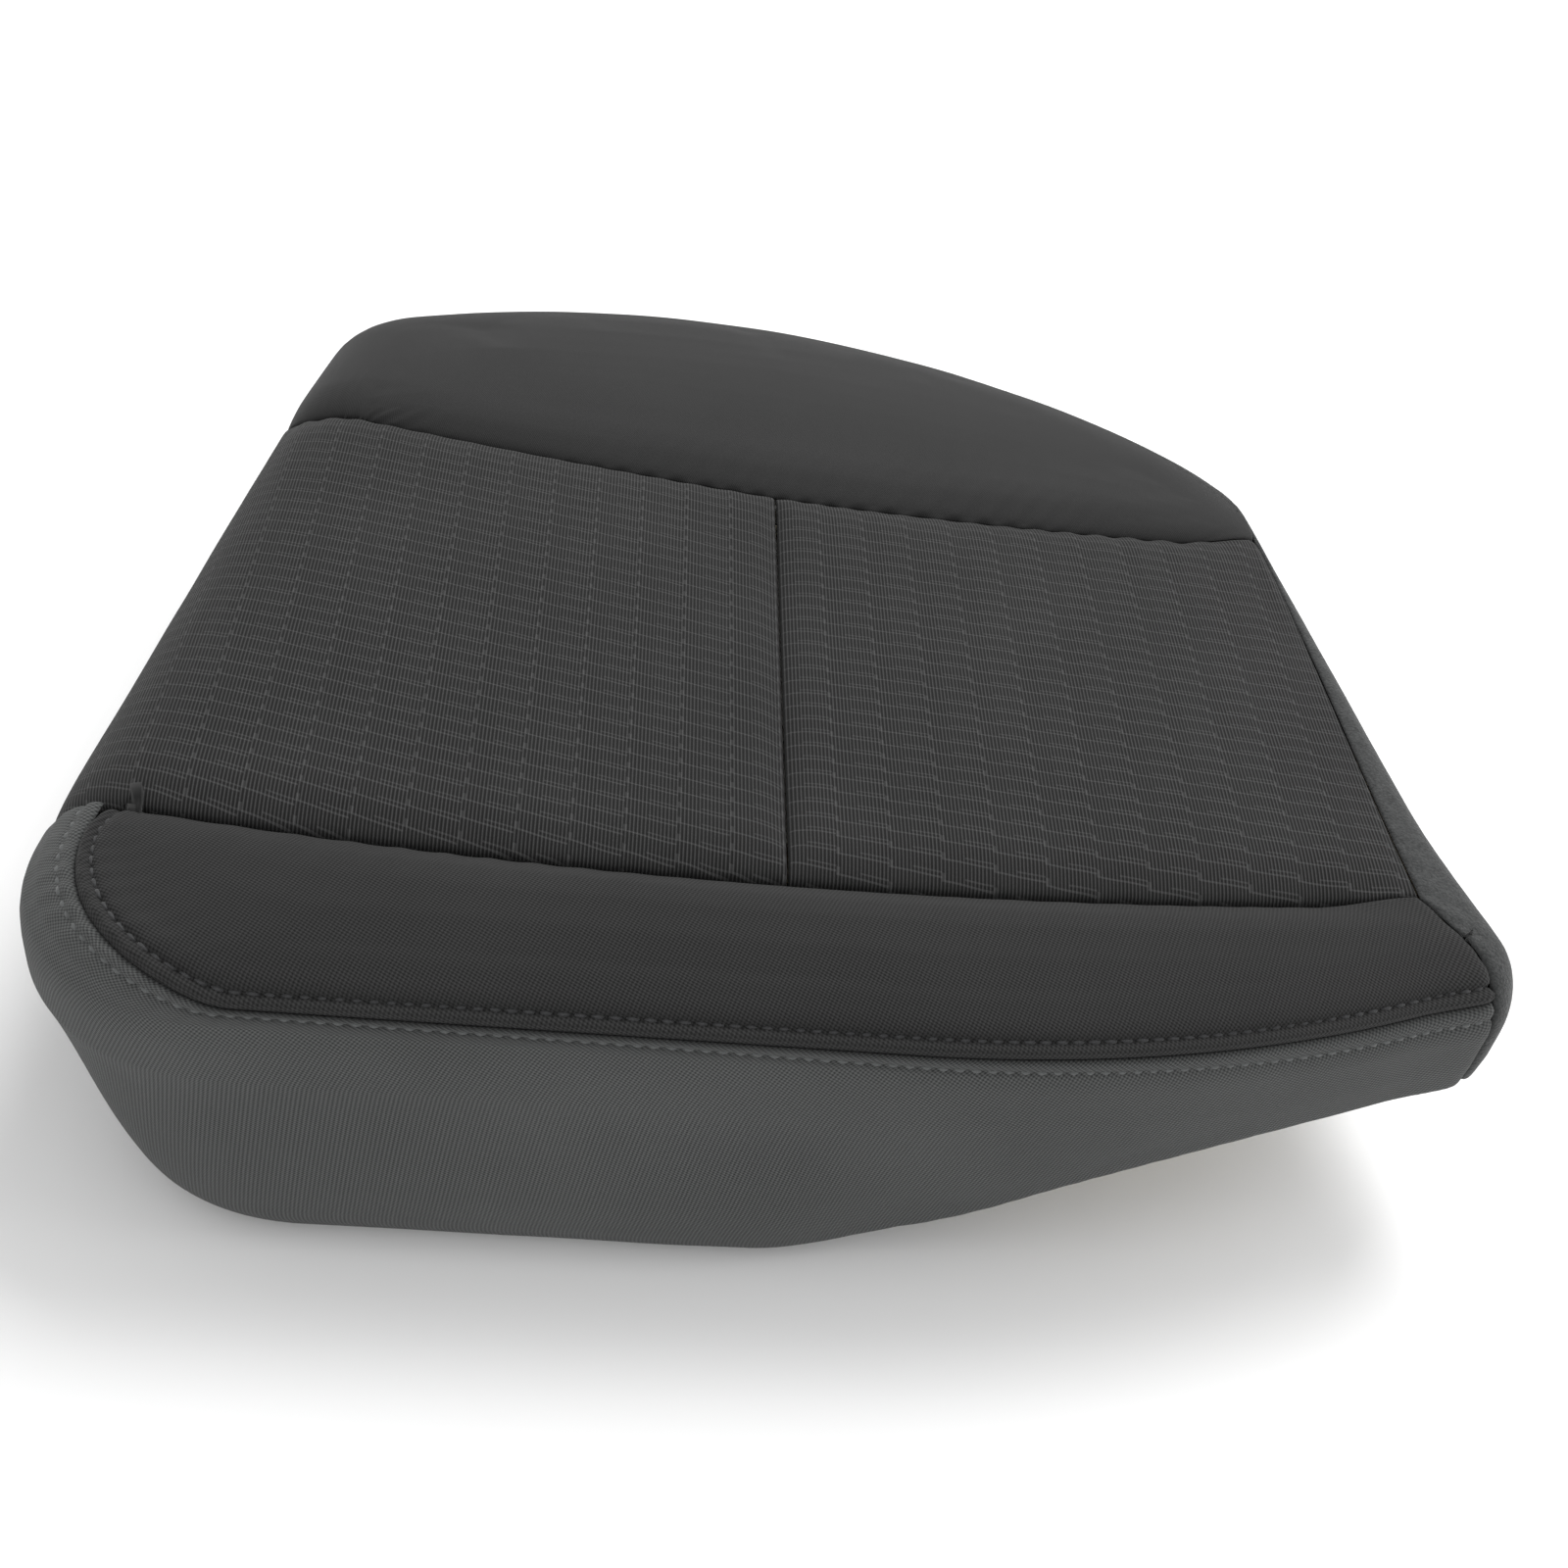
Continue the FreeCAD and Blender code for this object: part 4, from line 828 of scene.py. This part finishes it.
# ------------------------------------------------------------------ left side wall
# A strip of the plain cloth closes the left side between the seat panel and the hem.
wall_levels = [w for w in walls if w[0] <= 70.0] + bases
rows, reach = lay_rows(wall_paths(wall_levels, left_side, 130), 60, 0.5)
side_wall, _, _ = sew_panel(
    "side_wall_left_cover", rows, reach, wall_uv(rows, reach), (PLAIN, None, PLAIN, PLAIN), 2.0,
    gathered(0, 0.5, 10.0, 16.0, 41), seed=8)
plain_cloth(side_wall)
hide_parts("side_wall_left")


# ------------------------------------------------------------------ right side strip
# The thin right side is a strip of needle-punched felt, sewn along the shoulder and at both corners.
# It hides behind the seat's side shield in use, and turns under to the right hem.
def strip_part(p):
    return side_line(p) - GAP


def right_hem_part(p):
    return np.minimum(np.minimum(behind_front(p), -rear_line(p)), p[:, 0])


def on_side_seam(p):
    p = p.copy()
    p[:, 0] = side_seam_x(p[:, 1]) + GAP
    return p


strip_count = 260
strip_levels = [rolls[a] for a in TOP_ROLLS if a <= 66] + walls + bases
strip_down = wall_paths(strip_levels, strip_part, strip_count, right_hem_part)
rows, reach = lay_rows(folded_paths(strip_down, on_side_seam, strip_count), 64, 0.5)
strip, _, _ = sew_panel(
    "side_strip_right_cover", rows, reach, wall_uv(rows, reach),
    (SHOULDER, None, SHOULDER, SHOULDER), 0.8,
    gathered(0, 0.5, 8.0, 14.0, 51), rough=0.35, seed=9)
felt = Surface("needle_felt", 0.95, sheen=0.15)
where = felt.place()
fuzz = felt.calc("MULTIPLY_ADD", felt.grain(where, 900.0, 5.0), 1.3, -0.25)
clumps = felt.calc("MULTIPLY_ADD", felt.grain(where, 210.0, 4.0), 0.5, -0.25)
felt_level = felt.calc("ADD", fuzz, clumps)
felt.dress(strip, felt.blend(felt_level, (0.016, 0.017, 0.017), (0.070, 0.072, 0.072)), felt_level, 0.0005)
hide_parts("side_strip_right", "hem_right")


# ------------------------------------------------------------------ top stitching
# Two rows of lockstitch run beside the French seam, one through each allowance. Each stitch is a short
# soft length of bonded thread that dives into the cloth at both ends.
def stitch_line(shape, distance, offset):
    """The line on a finished panel that runs at offset from one of its edges, and the way out of it."""
    out = facing(shape)
    line, way = [], []
    for row, far, normal in zip(shape, distance, out):
        order = np.argsort(far)
        line.append([np.interp(offset, far[order], row[order, k]) for k in range(3)])
        way.append([np.interp(offset, far[order], normal[order, k]) for k in range(3)])
    return np.array(line), np.array(way)


bpy.ops.object.select_all(action="DESELECT")
bpy.ops.mesh.primitive_cylinder_add(vertices=6, radius=0.5, depth=1.0, end_fill_type="TRIFAN")
stitch = bpy.context.object
bpy.ops.object.mode_set(mode="EDIT")
bpy.ops.mesh.select_all(action="DESELECT")
bpy.ops.object.mode_set(mode="OBJECT")
bpy.context.tool_settings.mesh_select_mode = (False, True, False)
for edge in stitch.data.edges:
    a, b = (stitch.data.vertices[i].co for i in edge.vertices)
    edge.select = abs(a.z - b.z) > 0.9
bpy.ops.object.mode_set(mode="EDIT")
bpy.ops.mesh.subdivide(number_cuts=3)
bpy.ops.object.mode_set(mode="OBJECT")
stitch_points = np.array([v.co[:] for v in stitch.data.vertices])
stitch_faces = [tuple(f.vertices) for f in stitch.data.polygons]
bpy.data.objects.remove(stitch)
STITCH_LENGTH, THREAD = 4.7, 0.95
swell = np.cos(stitch_points[:, 2] * math.pi * 0.86)
stitch_along = stitch_points[:, 2] * STITCH_LENGTH
stitch_side = stitch_points[:, 0] * THREAD * 2 * (0.35 + 0.65 * swell)
stitch_up = stitch_points[:, 1] * THREAD * (0.35 + 0.65 * swell) - 0.9 * (1 - swell)


def stitch_row(name, node, shape, distance, lift, dark, light):
    line, way = stitch_line(shape, distance, STITCH_OFFSET)
    steps = np.linalg.norm(np.diff(line, axis=0), axis=1)
    run = np.concatenate(([0.0], np.cumsum(steps)))
    count = int(run[-1] / STITCH_PITCH)
    vertices, faces = [], []
    for i in range(1, count):
        ends = [np.array([np.interp(i * STITCH_PITCH + d, run, line[:, k]) for k in range(3)])
                for d in (-1, 1)]
        up = np.array([np.interp(i * STITCH_PITCH, run, way[:, k]) for k in range(3)])
        ahead = (ends[1] - ends[0]) / np.linalg.norm(ends[1] - ends[0])
        across = np.cross(up, ahead)
        across /= np.linalg.norm(across)
        up = np.cross(ahead, across)
        middle = (ends[0] + ends[1]) / 2 + up * lift
        placed = (middle + np.outer(stitch_along, ahead) + np.outer(stitch_side, across)
                  + np.outer(stitch_up, up))
        faces += [tuple(len(vertices) + k for k in face) for face in stitch_faces]
        vertices += (placed * MM).tolist()
    mesh = bpy.data.meshes.new(name)
    mesh.from_pydata(vertices, [], faces)
    piece = bpy.data.objects.new(name, mesh)
    bpy.context.scene.collection.objects.link(piece)
    only(piece)
    bpy.ops.object.mode_set(mode="EDIT")
    bpy.ops.mesh.select_all(action="SELECT")
    bpy.ops.mesh.normals_make_consistent(inside=False)
    bpy.ops.object.mode_set(mode="OBJECT")
    bpy.ops.object.shade_smooth()
    yarn = Surface(name + "_thread", 0.6, sheen=0.2)
    twist = yarn.grain(yarn.place(), 1800.0, 2.0)
    yarn.dress(piece, yarn.blend(twist, dark, light), twist, 0.00015)
    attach(piece, "root")
    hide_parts(node)


# Both rows are one thread given two colours: darker in the upper row as painted shade, lighter in the lower
# row as painted light, like the two basket cloths.
stitch_row("topstitch_upper_row_painted_shade", "topstitch_upper", front_top_shape, front_top_far[1], 0.15,
           (0.012, 0.012, 0.013), (0.055, 0.056, 0.058))
stitch_row("topstitch_lower_row_painted_light", "topstitch_lower", fascia_shape, fascia_far[0], 0.05,
           (0.050, 0.053, 0.053), (0.115, 0.12, 0.12))


# ------------------------------------------------------------------ foam pad
# One moulding of cream polyurethane foam fills the cover. Its skin is slightly bubbled, and the cloth
# squeezes it in a little everywhere but on its base.
SQUEEZE = 4.0
bpy.ops.object.select_all(action="DESELECT")
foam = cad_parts["foam_pad"].copy()
foam.data = foam.data.copy()
foam.name = "foam_pad_moulding"
bpy.context.scene.collection.objects.link(foam)
only(foam)
bpy.ops.object.mode_set(mode="EDIT")
bpy.ops.mesh.select_all(action="SELECT")
bpy.ops.mesh.remove_doubles(threshold=0.00001)
bpy.ops.object.mode_set(mode="OBJECT")
voxels = foam.modifiers.new("skin", "REMESH")
voxels.mode, voxels.voxel_size = "VOXEL", 0.005
bpy.ops.object.modifier_apply(modifier=voxels.name)
foam_points = np.empty(len(foam.data.vertices) * 3, dtype=np.float32)
foam.data.vertices.foreach_get("co", foam_points)
foam_points = foam_points.reshape(-1, 3) / MM
foam_out = np.array([v.normal[:] for v in foam.data.vertices])
above_base = foam_points[:, 2] - underside(foam_points[:, 0])
squeeze = SQUEEZE * smooth(above_base, 6, 30)
bubbles = np.array([noise.noise(Vector(p) / 9.0) for p in foam_points]) * 0.5
foam_points -= foam_out * (squeeze - np.minimum(bubbles, 0.4) * smooth(above_base, 2, 8))[:, None]
foam_points = settle(foam_points[None])[0]
foam.data.vertices.foreach_set("co", (foam_points * MM).astype(np.float32).ravel())
foam.data.update()
bpy.ops.object.shade_smooth()
cells = Surface("pu_foam", 0.9, sheen=0.1)
where = cells.place()
pores = cells.calc("MULTIPLY_ADD", cells.grain(where, 1100.0, 4.0), 1.5, -0.35)
stains = cells.calc("MULTIPLY_ADD", cells.grain(where, 9.0), 0.7, -0.35)
foam_colour = cells.blend(cells.calc("ADD", pores, stains), (0.34, 0.29, 0.19), (0.66, 0.60, 0.46))
cells.dress(foam, foam_colour, pores, 0.0006)
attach(foam, "root")
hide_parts("foam_pad")


# ------------------------------------------------------------------ base felt
# A sheet of pressed felt is glued under the flat of the pad, so that the foam doesn't squeak on the seat
# pan. Its corners are cut round and its edges are soft.
FELT_CORNER, FELT_RIM = 22 * MM, 0.9 * MM
low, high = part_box("base_felt")
middle = [(a + b) / 2 for a, b in zip(low, high)]
size = [b - a for a, b in zip(low, high)]
bpy.ops.object.select_all(action="DESELECT")
bpy.ops.mesh.primitive_cube_add(size=1.0, location=middle)
base_felt = bpy.context.object
base_felt.name = "base_felt_sheet"
base_felt.scale = size
bpy.ops.object.transform_apply(location=True, rotation=False, scale=True)
bpy.context.tool_settings.mesh_select_mode = (False, True, False)
bpy.ops.object.mode_set(mode="EDIT")
bpy.ops.mesh.select_all(action="DESELECT")
bpy.ops.object.mode_set(mode="OBJECT")
for edge in base_felt.data.edges:
    a, b = (base_felt.data.vertices[i].co for i in edge.vertices)
    edge.select = abs(a.z - b.z) > size[2] * 0.9
bpy.ops.object.mode_set(mode="EDIT")
bpy.ops.mesh.bevel(offset=FELT_CORNER, segments=8)
bpy.ops.object.mode_set(mode="OBJECT")
rims = base_felt.modifiers.new("soft_rims", "BEVEL")
rims.width, rims.segments = FELT_RIM, 3
rims.limit_method, rims.angle_limit = "ANGLE", math.radians(60)
bpy.ops.object.modifier_apply(modifier=rims.name)
bpy.ops.object.shade_smooth_by_angle(angle=math.radians(50))
pressed = Surface("base_felt", 0.95, sheen=0.3)
where = pressed.place()
fibres = pressed.calc("MULTIPLY_ADD", pressed.grain(where, 700.0, 5.0), 1.2, -0.2)
pressed.dress(base_felt, pressed.blend(fibres, (0.045, 0.046, 0.048), (0.17, 0.172, 0.178)), fibres, 0.0005)
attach(base_felt, "root")
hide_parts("base_felt")


# ------------------------------------------------------------------ tie-down wires, rings and J strips
# Drawn steel wires lie in the foam and in white fleece sleeves sewn to the seams, and hog rings clinch
# them together. The hem ends in black extruded strips that hook on the seat pan.
def bare_steel(name, dark, light, roughness):
    steel = Surface(name, roughness, metallic=1.0)
    drawn = steel.grain(steel.place(), 420.0, 6.0)
    steel.feed(steel.shader.inputs["Roughness"], steel.calc("MULTIPLY_ADD", drawn, 0.3, roughness - 0.15))
    return steel, steel.blend(drawn, dark, light), drawn


def fleece(name):
    wool = Surface(name, 0.95, sheen=0.3)
    tufts = wool.calc("MULTIPLY_ADD", wool.grain(wool.place(), 800.0, 5.0), 1.2, -0.2)
    return wool, wool.blend(tufts, (0.42, 0.42, 0.40), (0.72, 0.72, 0.69)), tufts


def extruded(name):
    strip_skin = Surface(name, 0.42)
    lines = strip_skin.grain(strip_skin.place(), 260.0, 4.0)
    strip_skin.feed(strip_skin.shader.inputs["Roughness"], strip_skin.calc("MULTIPLY_ADD", lines, 0.25, 0.32))
    return strip_skin, strip_skin.blend(lines, (0.012, 0.012, 0.012), (0.034, 0.034, 0.034)), lines


finishes = {
    "foam_wire_": (bare_steel("foam_wire_steel", (0.25, 0.25, 0.26), (0.5, 0.5, 0.51), 0.42), 0.00008),
    "trim_wire_": (bare_steel("trim_wire_steel", (0.3, 0.3, 0.31), (0.56, 0.56, 0.57), 0.36), 0.00008),
    "hog_rings_": (bare_steel("ring_steel", (0.34, 0.34, 0.35), (0.62, 0.62, 0.63), 0.32), 0.00005),
    "sleeve_": (fleece("sleeve_fleece"), 0.0003),
    "j_strip_": (extruded("strip_plastic"), 0.00006),
}
for prefix, ((finish, colour, relief), depth) in finishes.items():
    nodes = [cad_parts[name] for name in sorted(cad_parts) if name.startswith(prefix)]
    finish.dress(nodes[0], colour, relief, depth)
    finish.wear(*nodes)


# ------------------------------------------------------------------ studio
# A plain pale floor and soft light, with the camera where the cushion is usually shown from: in front,
# a little to the left and well above it.
azimuth, elevation, roll_angle = (math.radians(a) for a in (-8.0, 42.0, 10.0))
look = Vector((-math.sin(azimuth) * math.cos(elevation), math.cos(azimuth) * math.cos(elevation),
               -math.sin(elevation)))
level_right = Vector((math.cos(azimuth), math.sin(azimuth), 0.0))
level_down = look.cross(level_right)
right = math.cos(roll_angle) * level_right - math.sin(roll_angle) * level_down
down = math.cos(roll_angle) * level_down + math.sin(roll_angle) * level_right
camera_data = bpy.data.cameras.new("camera")
camera_data.lens, camera_data.sensor_width, camera_data.sensor_height = 45.0, 36.0, 36.0
camera = bpy.data.objects.new("camera", camera_data)
bpy.context.scene.collection.objects.link(camera)
turn = camera.matrix_world.to_3x3()
for row in range(3):
    turn[row][0], turn[row][1], turn[row][2] = right[row], -down[row], -look[row]
camera.matrix_world = turn.to_4x4()
camera.location = Vector((-77.5, -690.3, 638.4)) * MM
bpy.context.scene.camera = camera

bpy.ops.object.select_all(action="DESELECT")
bpy.ops.mesh.primitive_plane_add(size=8.0, location=(0, 0, -0.0006))
floor = bpy.context.object
floor.name = "studio_floor"
floor_paint = bpy.data.materials.new("floor_paint")
floor_paint.use_nodes = True
floor_paint.node_tree.nodes["Principled BSDF"].inputs["Base Color"].default_value = (0.9, 0.9, 0.9, 1)
floor_paint.node_tree.nodes["Principled BSDF"].inputs["Roughness"].default_value = 0.9
floor.data.materials.append(floor_paint)

for name, spot, size, power in (
    ("key_light", (0.7, 1.1, 2.4), 1.3, 52.0),
    ("fill_light", (1.9, 0.2, 1.8), 1.6, 14.0),
    ("front_light", (-0.9, -2.3, 1.0), 1.6, 12.0),
):
    lamp = bpy.data.lights.new(name, "AREA")
    lamp.shape, lamp.size, lamp.energy = "SQUARE", size, power
    lamp_object = bpy.data.objects.new(name, lamp)
    lamp_object.location = spot
    lamp_object.rotation_euler = (Vector((0, 0, 0.06)) - Vector(spot)).to_track_quat("-Z", "Y").to_euler()
    bpy.context.scene.collection.objects.link(lamp_object)
world = bpy.data.worlds.new("studio")
bpy.context.scene.world = world
world.use_nodes = True
world.node_tree.nodes["Background"].inputs["Color"].default_value = (1, 1, 1, 1)
world.node_tree.nodes["Background"].inputs["Strength"].default_value = 0.75
bpy.context.scene.view_settings.view_transform = "Standard"
